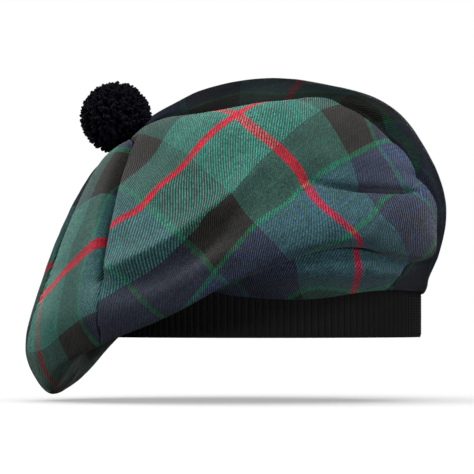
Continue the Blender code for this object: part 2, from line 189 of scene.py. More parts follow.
def mesh_from_tree(name: str, tree: bpy.types.NodeTree, values: dict) -> bpy.types.Mesh:
    """Run a Geometry Nodes tree and keep what it makes as a plain mesh.

    Args:
        name: the mesh's name.
        tree: the tree, which ends in Realize Instances and Set Material.
        values: for each of the tree's inputs, by name, its value.

    Returns:
        The mesh.
    """
    maker = bpy.data.objects.new(name + "_maker", bpy.data.meshes.new(name + "_maker"))
    bpy.context.scene.collection.objects.link(maker)
    modifier = maker.modifiers.new("make", "NODES")
    modifier.node_group = tree
    for item in tree.interface.items_tree:
        if item.item_type == "SOCKET" and item.in_out == "INPUT" and item.name in values:
            modifier[item.identifier] = values[item.name]
    evaluated = maker.evaluated_get(bpy.context.evaluated_depsgraph_get())
    mesh = bpy.data.meshes.new_from_object(evaluated)
    mesh.name = name
    bpy.data.objects.remove(maker)
    return mesh


class SocketKind(Enum):
    """The kinds of input that the hat's Geometry Nodes trees take."""

    WHOLE = "NodeSocketInt"
    NUMBER = "NodeSocketFloat"
    MATERIAL = "NodeSocketMaterial"


def new_tree(name: str, sockets: dict) -> tuple:
    """Start a Geometry Nodes tree.

    Args:
        name: the tree's name.
        sockets: for each input's name, its SocketKind.

    Returns:
        The tree, and its input node.
    """
    tree = bpy.data.node_groups.new(name, "GeometryNodeTree")
    tree.interface.new_socket("Geometry", in_out="OUTPUT", socket_type="NodeSocketGeometry")
    for socket, kind in sockets.items():
        tree.interface.new_socket(socket, in_out="INPUT", socket_type=kind.value)
    return tree, add_node(tree, "NodeGroupInput")


# ---------------------------------------------------------------- the crown's form
@dataclass(frozen=True)
class BandSize:
    """The band's outer oval, its height and the thickness of its knit."""

    length: float = 0.202
    width: float = 0.166
    height: float = 0.032
    wall: float = 0.0028


@dataclass(frozen=True)
class CrownSize:
    """The crown's widest oval, the point where its gores meet, and its cloth.

    About the top point the cloth is flat, out to top_flat_radius, and rises toward +X by top_slope.
    upper_share, shoulder_share and brow_share are how far out those heights are taken, as shares of the
    way to the widest line.  The cloth runs straight for edge_run before the band, fit_gap off it.
    """

    length: float = 0.268
    width: float = 0.240
    centre: tuple = (-0.0175, 0.004)
    cloth_wall: float = 0.0013
    fit_gap: float = 0.0003
    top_point: tuple = (-0.0825, 0.0, 0.1275)
    top_slope: float = 0.95
    top_flat_radius: float = 0.009
    edge_run: float = 0.004
    upper_share: float = 0.33
    shoulder_share: float = 0.62
    brow_share: float = 0.84


@dataclass(frozen=True)
class Section:
    """One vertical cut through the crown, from the toorie outward.

    plan is its plan angle in degrees, and swing turns its inner end on by that many degrees more.
    The other values are metres: heights above the band's lower rim, and for hem, tuck and lobe also
    how far in they lie from the crown's widest line.
    """

    plan: float
    swing: float
    upper: float
    shoulder: float
    brow: float
    rim: float
    hem: float
    hem_in: float
    tuck: float
    tuck_in: float
    lobe: float
    lobe_in: float
    lip: float


# The four seams are sections 0 (right), 4 (near), 8 (left) and 12 (far).
SECTIONS = (
    # plan, swing, upper, shoulder, brow, rim, hem, in, tuck, in, lobe, in, lip
    Section(-19, 7, 0.145, 0.1515, 0.139, 0.0865, 0.0515, 0.004, 0.0475, 0.009, 0.0395, 0.0105, 0.0300),
    Section(-38, 4, 0.141, 0.144, 0.115, 0.072, 0.0565, 0.004, 0.0585, 0.013, 0.042, 0.008, 0.024),
    Section(-58, 3, 0.139, 0.128, 0.096, 0.057, 0.037, 0.005, 0.041, 0.015, 0.036, 0.021, 0.027),
    Section(-79, 4, 0.133, 0.109, 0.075, 0.034, 0.012, 0.008, 0.017, 0.019, 0.026, 0.031, 0.0295),
    Section(-104, 10, 0.124, 0.093, 0.057, 0.015, -0.005, 0.01, 0.003, 0.022, 0.018, 0.034, 0.0295),
    Section(-117, 4, 0.12, 0.088, 0.05, 0.0075, -0.0125, 0.012, -0.004, 0.024, 0.0125, 0.0355, 0.0295),
    Section(-131, -3, 0.1165, 0.0845, 0.045, 0.002, -0.02, 0.0135, -0.0105, 0.0255, 0.0075, 0.0365, 0.0295),
    Section(-145, -9, 0.1135, 0.0815, 0.0425, -0.0025, -0.0265, 0.015, -0.0165, 0.026, 0.0045, 0.037, 0.0295),
    Section(-160, -13, 0.1115, 0.0795, 0.041, -0.008, -0.0315, 0.015, -0.02, 0.027, 0.0015, 0.0375, 0.0295),
    Section(-184, -9, 0.1105, 0.0785, 0.0405, -0.012, -0.036, 0.015, -0.0245, 0.0285, -0.001, 0.0385, 0.0295),
    Section(-211, -4, 0.1135, 0.083, 0.043, -0.01, -0.0355, 0.0155, -0.0245, 0.03, -0.0005, 0.04, 0.0295),
    Section(-241, 0, 0.1225, 0.0965, 0.059, 0.008, -0.0235, 0.0165, -0.0145, 0.03, 0.0065, 0.0425, 0.0295),
    Section(-272, 0, 0.138, 0.121, 0.087, 0.035, 0.012, 0.013, 0.0155, 0.0275, 0.0225, 0.043, 0.0295),
    Section(-299, 0, 0.151, 0.148, 0.1155, 0.059, 0.031, 0.0105, 0.03, 0.023, 0.029, 0.038, 0.0285),
    Section(-324, 3, 0.1605, 0.1662, 0.1388, 0.0765, 0.0435, 0.0085, 0.035, 0.016, 0.03, 0.0255, 0.026),
    Section(-350, 5, 0.1565, 0.1638, 0.1466, 0.087, 0.0535, 0.0045, 0.0445, 0.0075, 0.0355, 0.0125, 0.027),
)
RIM_STATION = 5.0
LAST_STATION = 10.0
SECTIONS_PER_GORE = 4


@dataclass(frozen=True)
class SeamBow:
    """Where a seam bows aside on the crown: by how many sections, about which station, over what reach."""

    seam: int
    shift: float
    station: float
    reach: float


SEAM_BOWS = (
    SeamBow(0, 0.12, 3.90, 0.60),
    SeamBow(0, -0.40, 5.70, 1.20),
    SeamBow(4, -0.22, 2.15, 0.38),
    SeamBow(4, 0.27, 3.20, 0.66),
    SeamBow(8, -0.55, 2.80, 1.25),
    SeamBow(8, 0.70, 5.45, 0.90),
)


def seam_sections(seam: int, station: np.ndarray) -> np.ndarray:
    """Where a seam runs, as a section number for each station.

    Args:
        seam: the seam's own section number.
        station: the stations.

    Returns:
        The section numbers.
    """
    bows = [bow for bow in SEAM_BOWS if bow.seam == seam % len(SECTIONS)]
    return seam + sum(
        (bow.shift * np.exp(-(((station - bow.station) / bow.reach) ** 2)) for bow in bows),
        np.zeros_like(station),
    )


@dataclass(frozen=True)
class Fold:
    """One fold line on the crown, through three places given as (section, station).

    heights are its rise (or, below zero, its depth) at those places.  below and above are its half
    widths to the right and to the left of its own direction, sharpness shapes its cross-section
    (2 round, near 1 a crease), and lap is how far the cloth on its left is drawn over it.
    """

    name: str
    start: tuple
    middle: tuple
    end: tuple
    heights: tuple
    below: float
    above: float
    sharpness: float = 2.0
    lap: float = 0.0


FOLDS = (
    # The seen side: the tuck and the hollows that run from it, the long ridge, and the dips at the seams.
    Fold("near_tuck", (1.12, 4.30), (0.54, 4.65), (-0.08, 4.88), (-0.0010, -0.0075, -0.0040),
         0.0045, 0.0085, 1.2, 0.0050),
    Fold("near_tuck_lip", (0.98, 4.06), (0.54, 4.40), (0.12, 4.60), (0.0005, 0.0020, 0.0010), 0.008, 0.008),
    Fold("near_valley", (1.02, 4.25), (1.36, 4.40), (1.75, 4.56), (-0.0025, -0.0034, -0.0008),
         0.009, 0.009, 1.7),
    Fold("near_bulge", (1.30, 4.85), (0.80, 4.95), (0.25, 5.10), (0.0005, 0.0024, 0.0010), 0.013, 0.012),
    Fold("near_overhang", (1.80, 5.50), (1.15, 5.50), (0.45, 5.62), (0.0008, 0.0036, 0.0012),
         0.005, 0.013, 1.6),
    Fold("near_ridge", (3.85, 4.35), (2.60, 4.42), (1.58, 3.92), (0.0012, 0.0046, 0.0018),
         0.009, 0.020, 1.7),
    Fold("near_hollow", (3.68, 4.74), (2.80, 4.76), (2.00, 4.56), (-0.0020, -0.0050, -0.0014), 0.013, 0.007),
    Fold("near_low_ridge", (3.30, 5.05), (2.60, 5.02), (2.00, 4.95), (0.0003, 0.0018, 0.0003), 0.009, 0.009),
    Fold("near_top_swell", (2.40, 2.60), (1.70, 3.05), (1.00, 3.45), (0.0005, 0.0022, 0.0005), 0.020, 0.020),
    Fold("right_tuck", (-0.05, 4.70), (-0.36, 4.86), (-0.55, 5.35), (-0.0020, -0.0058, -0.0045),
         0.006, 0.009, 1.3, 0.0030),
    Fold("right_fold", (-0.20, 5.30), (-0.50, 5.75), (-0.45, 6.60), (-0.0005, -0.0030, -0.0010),
         0.008, 0.008),
    Fold("near_seam_tuck", (3.82, 2.20), (4.30, 3.02), (4.10, 4.40), (-0.0010, -0.0026, -0.0016),
         0.005, 0.003, 1.3, 0.0010),
    Fold("near_seam_edge", (3.56, 2.10), (4.00, 3.00), (3.84, 4.40), (0.0003, 0.0009, 0.0006), 0.006, 0.006),
    Fold("left_groove", (4.22, 3.10), (4.45, 4.00), (4.35, 4.70), (-0.0003, -0.0022, -0.0005), 0.006, 0.006),
    Fold("left_drape", (5.60, 3.40), (5.90, 4.40), (6.00, 5.40), (0.0003, 0.0022, 0.0010), 0.013, 0.013),
    Fold("left_pucker", (4.30, 5.00), (4.10, 5.45), (3.70, 5.80), (-0.0005, -0.0022, -0.0005), 0.006, 0.006),
    Fold("right_seam_dip", (0.00, 1.40), (-0.05, 2.60), (-0.02, 4.20), (-0.0005, -0.0030, -0.0015),
         0.009, 0.012, 1.4),
    # The side away from view: softer folds of the same kinds.
    Fold("left_seam_dip", (7.62, 1.60), (7.45, 2.90), (7.96, 4.90), (-0.0006, -0.0024, -0.0008),
         0.004, 0.005, 1.3),
    Fold("far_seam_dip", (12.00, 1.40), (12.00, 2.90), (12.00, 5.00), (-0.0003, -0.0022, -0.0010),
         0.007, 0.007, 1.4),
    Fold("far_tuck", (14.80, 4.30), (14.10, 4.62), (13.20, 4.60), (-0.0010, -0.0055, -0.0010),
         0.008, 0.012, 1.4),
    Fold("far_swell", (14.90, 5.10), (14.00, 5.20), (13.00, 4.95), (0.0005, 0.0032, 0.0005), 0.014, 0.014),
    Fold("far_low_fold", (13.60, 5.55), (12.80, 5.50), (11.80, 5.00), (-0.0005, -0.0036, -0.0005),
         0.010, 0.010),
    Fold("far_drape", (11.40, 2.60), (11.00, 3.80), (10.80, 5.20), (0.0003, 0.0026, 0.0008), 0.014, 0.014),
    Fold("far_left_hollow", (10.00, 3.00), (9.90, 4.20), (9.70, 5.30), (-0.0003, -0.0022, -0.0010),
         0.012, 0.012),
    Fold("far_left_drape", (9.10, 3.80), (9.00, 4.60), (9.00, 5.60), (0.0002, 0.0012, 0.0006), 0.011, 0.011),
)
# Finer folds, which sharpen the ones above and show in the cloth alone.
FINE_FOLDS = (
    Fold("near_ridge_crest", (3.80, 4.42), (2.65, 4.42), (1.60, 3.95), (0.0026, 0.0034, 0.0012),
         0.0035, 0.0080, 1.5),
    Fold("near_ridge_fall", (3.55, 4.60), (2.60, 4.58), (1.66, 4.14), (-0.0044, -0.0052, -0.0018),
         0.0085, 0.0042, 1.4),
    Fold("near_ridge_branch", (2.50, 4.50), (2.10, 4.36), (1.70, 4.30), (0.0003, 0.0016, 0.0003),
         0.0035, 0.0035, 1.6),
    Fold("near_seam_crease", (3.86, 2.15), (4.34, 3.02), (4.15, 4.36), (-0.0070, -0.0120, -0.0105),
         0.0032, 0.0046, 1.2),
    Fold("near_seam_roll", (3.58, 2.20), (4.10, 3.02), (3.92, 4.34), (0.0006, 0.0018, 0.0016),
         0.0030, 0.0042),
    Fold("left_wedge", (4.45, 3.30), (4.50, 3.80), (4.26, 4.30), (0.0003, 0.0018, 0.0006), 0.0045, 0.0045),
    Fold("near_tuck_crease", (1.16, 4.31), (0.58, 4.69), (0.02, 4.87), (-0.0014, -0.0065, -0.0045),
         0.0016, 0.0024, 1.1),
    Fold("tip_hem_lip", (6.60, 5.70), (5.47, 5.74), (4.20, 5.88), (0.0004, 0.0014, 0.0010),
         0.0016, 0.0045, 1.5),
    Fold("tip_hem_fall", (6.60, 5.98), (5.42, 6.02), (4.15, 6.14), (-0.0010, -0.0036, -0.0024),
         0.0050, 0.0022, 1.4),
    Fold("near_tuck_branch", (0.66, 4.72), (0.86, 4.86), (0.98, 5.10), (-0.0006, -0.0016, -0.0003),
         0.0035, 0.0045, 1.5),
    Fold("crest_peak", (0.22, 2.95), (0.09, 3.24), (0.12, 3.55), (0.0006, 0.0032, 0.0004),
         0.0048, 0.0048, 1.4),
    Fold("right_seam_crease", (15.84, 2.60), (15.90, 3.40), (15.98, 4.40), (-0.0010, -0.0032, -0.0012),
         0.0030, 0.0040, 1.2),
    Fold("lobe_dent", (0.95, 7.40), (0.72, 7.95), (0.40, 8.20), (-0.0003, -0.0016, -0.0003), 0.0060, 0.0060),
    Fold("lobe_swell", (1.60, 8.00), (1.15, 7.70), (0.70, 7.30), (0.0003, 0.0014, 0.0003), 0.0050, 0.0050),
    Fold("far_tuck_crease", (14.70, 4.36), (14.10, 4.68), (13.30, 4.62), (-0.0006, -0.0028, -0.0006),
         0.0030, 0.0040, 1.2),
    Fold("far_left_crease", (10.50, 4.30), (10.10, 4.75), (9.60, 4.85), (-0.0004, -0.0018, -0.0004),
         0.0040, 0.0050, 1.4),
)
FOLD_STEPS = 41
FOLD_MARGIN = 3.0

# A fold grips cloth that faces its own way, and lets go of it as the facing turns off.
FACING_GAIN = 1.5
FACING_START = 0.3

# Where a lap's pull is strongest, as a share of the upper half width, and how much it also lifts.
LAP_MIDDLE = 0.55
LAP_LIFT = 0.35


def through_three(values: tuple, share: np.ndarray) -> np.ndarray:
    """A quadratic through three values or places.

    Args:
        values: the three, at shares 0, 1/2 and 1 of the way.
        share: the shares to read it at.

    Returns:
        The values or places there.
    """
    first, middle, last = (np.asarray(value, float) for value in values)
    share = share[:, None] if first.ndim else share
    return (
        first * (2 * share - 1) * (share - 1)
        + middle * 4 * share * (1 - share)
        + last * share * (2 * share - 1)
    )


@dataclass
class CrownForm:
    """The crown's outer surface.  A place on it is a section number, around, and a station, down."""

    crown: CrownSize = CrownSize()
    band: BandSize = BandSize()
    step: float = 1e-3

    def __post_init__(self) -> None:
        """Lay the folds out on the smooth crown."""
        self.table = np.array([astuple(row) for row in SECTIONS])
        self.lines = [FoldLine(fold, self) for fold in FOLDS + FINE_FOLDS]

    def reach(self, angle: np.ndarray, centre: tuple, length: float, width: float) -> np.ndarray:
        """Horizontal distance from the top point to an upright oval.

        Args:
            angle: plan angles, in radians.
            centre: the oval's centre.
            length: its size along X.
            width: its size along Y.

        Returns:
            The distances.
        """
        from_x = self.crown.top_point[0] - centre[0]
        from_y = self.crown.top_point[1] - centre[1]
        way_x, way_y = np.cos(angle), np.sin(angle)
        square = (2 * way_x / length) ** 2 + (2 * way_y / width) ** 2
        linear_part = 8 * (from_x * way_x / length**2 + from_y * way_y / width**2)
        rest = (2 * from_x / length) ** 2 + (2 * from_y / width) ** 2 - 1
        return (-linear_part + np.sqrt(linear_part**2 - 4 * square * rest)) / (2 * square)

    def section_values(self, section: np.ndarray) -> np.ndarray:
        """Every column of SECTIONS, smoothly, at section numbers that may lie between rows."""
        count = len(self.table)
        row = np.floor(section).astype(int)
        share = (section - row)[:, None]
        turn = np.zeros(self.table.shape[1])
        turn[0] = -360.0
        before, here, after, beyond = (
            self.table[(row + step) % count] + ((row + step) // count)[:, None] * turn
            for step in (-1, 0, 1, 2)
        )
        return here + 0.5 * share * (
            after - before
            + share * (
                2 * before - 5 * here + 4 * after - beyond
                + share * (3 * here - before - 3 * after + beyond)
            )
        )

    def knots(self, values: np.ndarray) -> np.ndarray:
        """The knots of each cut as (cut, knot, 2): how far out, and how high."""
        (plan, _, upper, shoulder, brow, rim, hem, hem_in, tuck, tuck_in, lobe, lobe_in, lip) = values.T
        angle = np.radians(plan)
        crown, band = self.crown, self.band
        widest = self.reach(angle, crown.centre, crown.length, crown.width)
        level = np.zeros_like(angle)
        top, flat = crown.top_point[2], crown.top_flat_radius
        lobe_out = widest - lobe_in
        way = np.stack([self.reach(angle, (0.0, 0.0), band.length, band.width) - lobe_out, lip - lobe], -1)
        way /= np.linalg.norm(way, axis=1, keepdims=True)
        standoff = 2 * (crown.fit_gap + crown.cloth_wall * np.clip(-way[:, 1], 0, 1))
        ring = self.reach(angle, (0.0, 0.0), band.length + standoff, band.width + standoff)
        edge = np.stack([ring, lip], -1)
        return np.stack([
            np.stack([level, level + top], -1),
            np.stack([level + flat, top + flat * crown.top_slope * np.cos(angle)], -1),
            np.stack([crown.upper_share * widest, upper], -1),
            np.stack([crown.shoulder_share * widest, shoulder], -1),
            np.stack([crown.brow_share * widest, brow], -1),
            np.stack([widest, rim], -1),
            np.stack([widest - hem_in, hem], -1),
            np.stack([widest - tuck_in, tuck], -1),
            np.stack([lobe_out, lobe], -1),
            edge - crown.edge_run * way,
            edge,
        ], 1)

    def run_along(self, knots: np.ndarray, station: np.ndarray) -> np.ndarray:
        """Places on smooth curves through their knots.

        Args:
            knots: (curve, knot, 2).
            station: one station for each curve.

        Returns:
            One place for each curve, (curve, 2).
        """
        spacing = np.sqrt(np.linalg.norm(np.diff(knots, axis=1), axis=2))
        slope = np.diff(knots, axis=1) / spacing[..., None]
        tangent = np.empty_like(knots)
        weight = (spacing[:, 1:] / (spacing[:, 1:] + spacing[:, :-1]))[..., None]
        tangent[:, 1:-1] = slope[:, :-1] * weight + slope[:, 1:] * (1 - weight)
        tangent[:, 0] = slope[:, 0]
        tangent[:, -1] = slope[:, -1]
        curve = np.arange(len(knots))
        knot = np.clip(np.floor(station).astype(int), 0, knots.shape[1] - 2)
        share = (station - knot)[:, None]
        stretch = spacing[curve, knot][:, None]
        near, far = knots[curve, knot], knots[curve, knot + 1]
        leave, arrive = tangent[curve, knot] * stretch, tangent[curve, knot + 1] * stretch
        return (
            near * (1 + share**2 * (2 * share - 3))
            + leave * share * (1 - share) ** 2
            + far * share**2 * (3 - 2 * share)
            + arrive * share**2 * (share - 1)
        )

    def smooth(self, section: np.ndarray, station: np.ndarray) -> np.ndarray:
        """Points of the crown before its folds, (place, 3)."""
        values = self.section_values(section)
        outward, height = self.run_along(self.knots(values), station).T
        inner_share = np.clip(1 - station / RIM_STATION, 0, 1)
        way = np.radians(values[:, 0] + values[:, 1] * inner_share)
        return np.stack([
            self.crown.top_point[0] + outward * np.cos(way),
            self.crown.top_point[1] + outward * np.sin(way),
            height,
        ], -1)

    def slopes(self, surface, section: np.ndarray, station: np.ndarray) -> tuple:
        """How a surface runs around and down, per section and per station.

        Args:
            surface: a method of this class, such as smooth or folded.
            section: section numbers.
            station: stations.

        Returns:
            The two slopes, each (place, 3).
        """
        step = self.step
        around = surface(section + step, station) - surface(section - step, station)
        down = surface(section, station + step) - surface(section, station - step)
        return around / (2 * step), down / (2 * step)

    def normals(self, surface, section: np.ndarray, station: np.ndarray) -> np.ndarray:
        """Outward unit normals of a surface, (place, 3)."""
        normal = np.cross(*self.slopes(surface, section, station))
        return normal / np.linalg.norm(normal, axis=1, keepdims=True)

    def folded(self, section: np.ndarray, station: np.ndarray) -> np.ndarray:
        """Points of the crown with every fold pressed into it, (place, 3)."""
        points = self.smooth(section, station)
        normals = self.normals(self.smooth, section, station)
        return points + sum(line.shift(points, normals) for line in self.lines)


class FoldLine:
    """A Fold laid out on the smooth crown, ready to press its shape into points near it."""

    def __init__(self, fold: Fold, form: CrownForm) -> None:
        """Work out the line's places, directions and heights."""
        share = np.linspace(0.0, 1.0, FOLD_STEPS)
        section, station = through_three((fold.start, fold.middle, fold.end), share).T
        self.fold = fold
        self.points = form.smooth(section, station)
        self.normals = form.normals(form.smooth, section, station)
        run = np.gradient(self.points, axis=0)
        self.run = run / np.linalg.norm(run, axis=1, keepdims=True)
        self.side = np.cross(self.normals, self.run)
        self.heights = through_three(fold.heights, share)
        self.grip = np.abs(self.heights) / np.abs(self.heights).max()

    def shift(self, points: np.ndarray, normals: np.ndarray) -> np.ndarray:
        """How far the fold moves points of the smooth crown.

        Args:
            points: the points, (place, 3).
            normals: the smooth crown's normals there.

        Returns:
            The moves, (place, 3).
        """
        fold = self.fold
        move = np.zeros_like(points)
        margin = FOLD_MARGIN * max(fold.below, fold.above)
        low, high = self.points.min(0) - margin, self.points.max(0) + margin
        near = np.flatnonzero(np.all((points > low) & (points < high), axis=1))
        if not len(near):
            return move
        away = points[near][:, None, :] - self.points[None]
        closest = (away**2).sum(-1).argmin(1)
        away = away[np.arange(len(near)), closest]
        side = (away * self.side[closest]).sum(1)
        at_end = (closest == 0) | (closest == FOLD_STEPS - 1)
        past = np.where(at_end, np.abs((away * self.run[closest]).sum(1)), 0.0)
        distance = np.hypot(side, past)
        lean = side / np.maximum(distance, 1e-9)
        half_width = fold.below + (fold.above - fold.below) * (0.5 + 0.5 * lean)
        facing = (normals[near] * self.normals[closest]).sum(1)
        same_cloth = np.clip(FACING_GAIN * facing + FACING_START, 0, 1)
        press = self.heights[closest] * np.exp(-(distance / half_width) ** fold.sharpness) * same_cloth
        move[near] = press[:, None] * normals[near]
        if fold.lap:
            middle = LAP_MIDDLE * fold.above
            pull = np.exp(-((side - middle) / middle) ** 2 - (past / fold.above) ** 2)
            pull *= fold.lap * same_cloth * self.grip[closest]
            move[near] += pull[:, None] * (LAP_LIFT * normals[near] - self.side[closest])
        return move


@dataclass(frozen=True)
class ClothGive:
    """The small unevenness of the sewn cloth, in metres.

    swell is slow unevenness of the cloth between its folds, ripple is quicker, seam_pucker is the
    gathering along the gores' sides, and ease is the gathering where the crown is sewn to the band.
    Each has its run, which is how far apart its rises lie.  seam_reach is how far a seam's gathering
    carries, and ease_stretch draws the band's out upward.  The starts and fades are in stations: the
    gathers begin below seam_start and ease_start, and all of it fades to edge_share of itself near the
    toorie and the band.
    """

    swell: float = 0.0007
    swell_run: float = 0.034
    ripple: float = 0.00022
    ripple_run: float = 0.011
    seam_pucker: float = 0.00045
    seam_pucker_run: float = 0.0095
    seam_reach: float = 0.007
    ease: float = 0.0008
    ease_run: float = 0.0085
    ease_stretch: tuple = (1.0, 1.0, 0.15)
    seam_start: float = 1.5
    ease_start: float = 8.7
    top_fade: float = 0.6
    band_fade: float = 0.4
    edge_share: float = 0.25


@dataclass
class DressedCrown(CrownForm):
    """The crown with its folds and the small unevenness of its cloth."""

    give: ClothGive = ClothGive()

    def uneven(self, points: np.ndarray, run: float, seed: float) -> np.ndarray:
        """Smooth random values between about -1 and 1 that vary over a run of metres."""
        offset = Vector((seed, 2 * seed, 3 * seed))
        return np.array([noise.noise(Vector(point) / run + offset) for point in points])

    def dressed(self, section: np.ndarray, station: np.ndarray) -> np.ndarray:
        """Points of the finished cloth's outer face, (place, 3)."""
        give = self.give
        folded = self.folded(section, station)
        around, down = self.slopes(self.smooth, section, station)
        normals = np.cross(around, down)
        normals /= np.linalg.norm(normals, axis=1, keepdims=True)
        from_seam = (section + 2) % SECTIONS_PER_GORE - 2
        seam_distance = np.abs(from_seam) * np.linalg.norm(around, axis=1)
        at_seam = np.exp(-(seam_distance / give.seam_reach) ** 2)
        at_seam *= np.clip(station - give.seam_start, 0, 1) * np.clip(LAST_STATION - station, 0, 1)
        at_band = np.clip((station - give.ease_start) / (LAST_STATION - give.ease_start), 0, 1)
        rise = give.swell * self.uneven(folded, give.swell_run, 1.0)
        rise += give.ripple * self.uneven(folded, give.ripple_run, 2.0)
        rise += give.seam_pucker * at_seam * self.uneven(folded, give.seam_pucker_run, 3.0)
        rise += give.ease * at_band**2 * self.uneven(folded * give.ease_stretch, give.ease_run, 4.0)
        settle = np.clip((LAST_STATION - station) / give.band_fade, 0, 1)
        settle *= np.clip(station - give.top_fade, 0, 1)
        rise *= give.edge_share + (1 - give.edge_share) * settle
        return folded + rise[:, None] * normals


# ---------------------------------------------------------------- the photograph's view
@dataclass(frozen=True)
class PhotoView:
    """Where the camera stands, and how its picture is framed."""

    distance: float = 2.5
    height: float = 0.020
    aim: tuple = (-0.0173, 0.0, 0.0640)
    picture_pixels: int = 474
    metres_per_pixel: float = 0.00064
    sensor_mm: float = 36.0
    farthest: float = 50.0

    @property
    def place(self) -> np.ndarray:
        """Where the camera stands."""
        return np.array([self.aim[0], -self.distance, self.height])

    @property
    def lens_mm(self) -> float:
        """The lens that frames the picture's width at the hat."""
        return self.sensor_mm * self.distance / (self.picture_pixels * self.metres_per_pixel)

    def pixels(self, points: np.ndarray) -> tuple:
        """Where points show in the photograph.

        Args:
            points: (place, 3).

        Returns:
            Their pixels, (place, 2), and their distances from the camera.
        """
        forward = np.array(self.aim) - self.place
        forward /= np.linalg.norm(forward)
        right = np.array([1.0, 0.0, 0.0])
        up = np.cross(right, forward)
        away = points - self.place
        depth = away @ forward
        scale = self.distance / self.metres_per_pixel / depth
        middle = self.picture_pixels / 2
        return np.stack([middle + scale * (away @ right), middle - scale * (away @ up)], -1), depth

    def make_camera(self) -> None:
        """Add the camera to the scene."""
        data = bpy.data.cameras.new("camera")
        data.sensor_width = self.sensor_mm
        data.lens = self.lens_mm
        data.clip_end = self.farthest
        camera = bpy.data.objects.new("camera", data)
        camera.location = self.place
        camera.rotation_euler = (Vector(self.aim) - camera.location).to_track_quat("-Z", "Y").to_euler()
        bpy.context.scene.collection.objects.link(camera)
        bpy.context.scene.camera = camera


# ---------------------------------------------------------------- the tartan
WEAVE_ATTRIBUTE = "cloth_place"


class Yarn(Enum):
    """The tartan's dyed yarns, as sRGB hex colours."""

    RED = "#d21c38"
    GREEN = "#3b7c6f"
    BLACK = "#2d2c29"
    LEAF = "#1f7856"
    BLUE = "#3c4967"


@dataclass(frozen=True)
class Stripe:
    """One stripe of the sett: its yarn, and where it ends, in sett units from the red line's middle."""

    yarn: Yarn
    end: float


@dataclass(frozen=True)
class Sett:
    """The order of the tartan's stripes from the red line's middle, which then runs back in mirror."""

    stripes: tuple = (
        Stripe(Yarn.RED, 1.7),
        Stripe(Yarn.GREEN, 26.0),
        Stripe(Yarn.BLACK, 50.6),
        Stripe(Yarn.LEAF, 53.3),
        Stripe(Yarn.BLUE, 78.8),
        Stripe(Yarn.LEAF, 80.0),
    )
    unit: float = 0.00155

    @property
    def half_units(self) -> float:
        """The length of the sett before it mirrors, in units."""
        return self.stripes[-1].end


@dataclass(frozen=True)
class Mark:
    """A point of the photograph where the tartan's place is known.

    x and y are its pixel.  a and b are how far across the two sets of threads it lies, in sett units
    from a red line's middle, or None where that one isn't known.
    """

    x: float
    y: float
    a: float = None
    b: float = None


NEAR_MARKS = (
    # the red line that runs down to the left
    Mark(237, 114, 0, 0), Mark(220, 125, 0), Mark(200, 145, 0), Mark(190, 157, 0, 26), Mark(178, 171, 0),
    Mark(163, 182, 0), Mark(150, 195, 0), Mark(144, 204, 0), Mark(138, 210, 0), Mark(131, 214, 0),
    Mark(122, 216, 0), Mark(114, 223, 0),
    # the red line that runs down to the right, and on over the lower lobe
    Mark(250, 127, None, 0), Mark(276, 147, 26, 0), Mark(287, 157, None, 0), Mark(297, 168, None, 0),
    Mark(305, 180, 50, 0), Mark(309, 190, None, 0), Mark(315, 199, None, 0), Mark(325, 208, None, 0),
    Mark(335, 216, None, 0), Mark(353, 231, 80, 0), Mark(361, 241, None, 0),
    Mark(357, 262, None, 0), Mark(358, 275, None, 0), Mark(362, 295, None, 0),
    # the thin green line below the left red one
    Mark(122, 188, None, 52), Mark(135, 196, None, 52), Mark(162, 219, None, 52), Mark(185, 242, None, 52),
    Mark(204, 258, None, 52), Mark(222, 280, None, 52),
    # the green line at the lower left
    Mark(112, 271, None, 80), Mark(135, 293, None, 80), Mark(165, 317, None, 80),
    # the thin green line right of the middle
    Mark(350, 158, 52), Mark(312, 180, 52), Mark(285, 205, 52), Mark(258, 226, 52), Mark(240, 241, 52),
    Mark(218, 268, 52),
    # the green line at the right, and the next one along the foot of the lobe
    Mark(388, 196, 80), Mark(370, 217, 80), Mark(345, 238, 80),
    Mark(310, 288, 108), Mark(340, 290, 108), Mark(380, 290, 108), Mark(405, 287, 108),
    # corners of the dark squares
    Mark(233, 194, 26, 26), Mark(251, 219, 50, 26), Mark(190, 236, 26, 50), Mark(215, 266, 50, 50),
    Mark(320, 110, 26, -26), Mark(348, 153, 50, -26), Mark(372, 140, 50, -50),
    Mark(150, 161, -26), Mark(298, 265, None, 26), Mark(298, 281, None, 26),
    # the edge between teal and dark at the right
    Mark(364, 192, None, -26), Mark(377, 212, None, -26), Mark(396, 229, None, -26),
    Mark(407, 253, None, -26), Mark(410, 273, None, -26),
)
LEFT_MARKS = (
    # the bright red line
    Mark(104, 241, 0), Mark(100, 241, 0), Mark(89, 249, 0), Mark(78, 260, 0), Mark(66, 270, 0),
    Mark(55, 281, 0), Mark(46, 291, 0), Mark(40, 299, 0),
    # the dim red line that follows the outline round the tip
    Mark(39, 306, None, 0), Mark(38, 323, None, 0), Mark(39, 348, None, 0), Mark(42, 365, None, 0),
    Mark(80, 195, None, -13), Mark(71, 213, None, -12), Mark(63, 233, None, -10), Mark(54, 255, None, -7),
    Mark(46, 277, None, -4),
    # the edge of the green stripe, and the thin green line beside the blue
    Mark(87, 213, None, -26), Mark(77, 233, None, -26), Mark(65, 282, None, -26), Mark(61, 300, None, -26),
    Mark(58, 337, None, -26), Mark(111, 158, None, -26), Mark(102, 173, None, -26), Mark(93, 194, None, -26),
    Mark(109, 192, None, -52), Mark(100, 210, None, -52), Mark(90, 243, None, -52), Mark(82, 267, None, -52),
    Mark(78, 290, None, -52), Mark(79, 315, None, -52), Mark(84, 328, None, -52),
    # where the dark stripes cross
    Mark(46, 348, 26), Mark(60, 335, 26), Mark(78, 320, 26), Mark(86, 202, -26), Mark(78, 207, -26),
)
FAR_LEFT_MARKS = (Mark(35, 335, 20, -13), Mark(47, 267, 0))
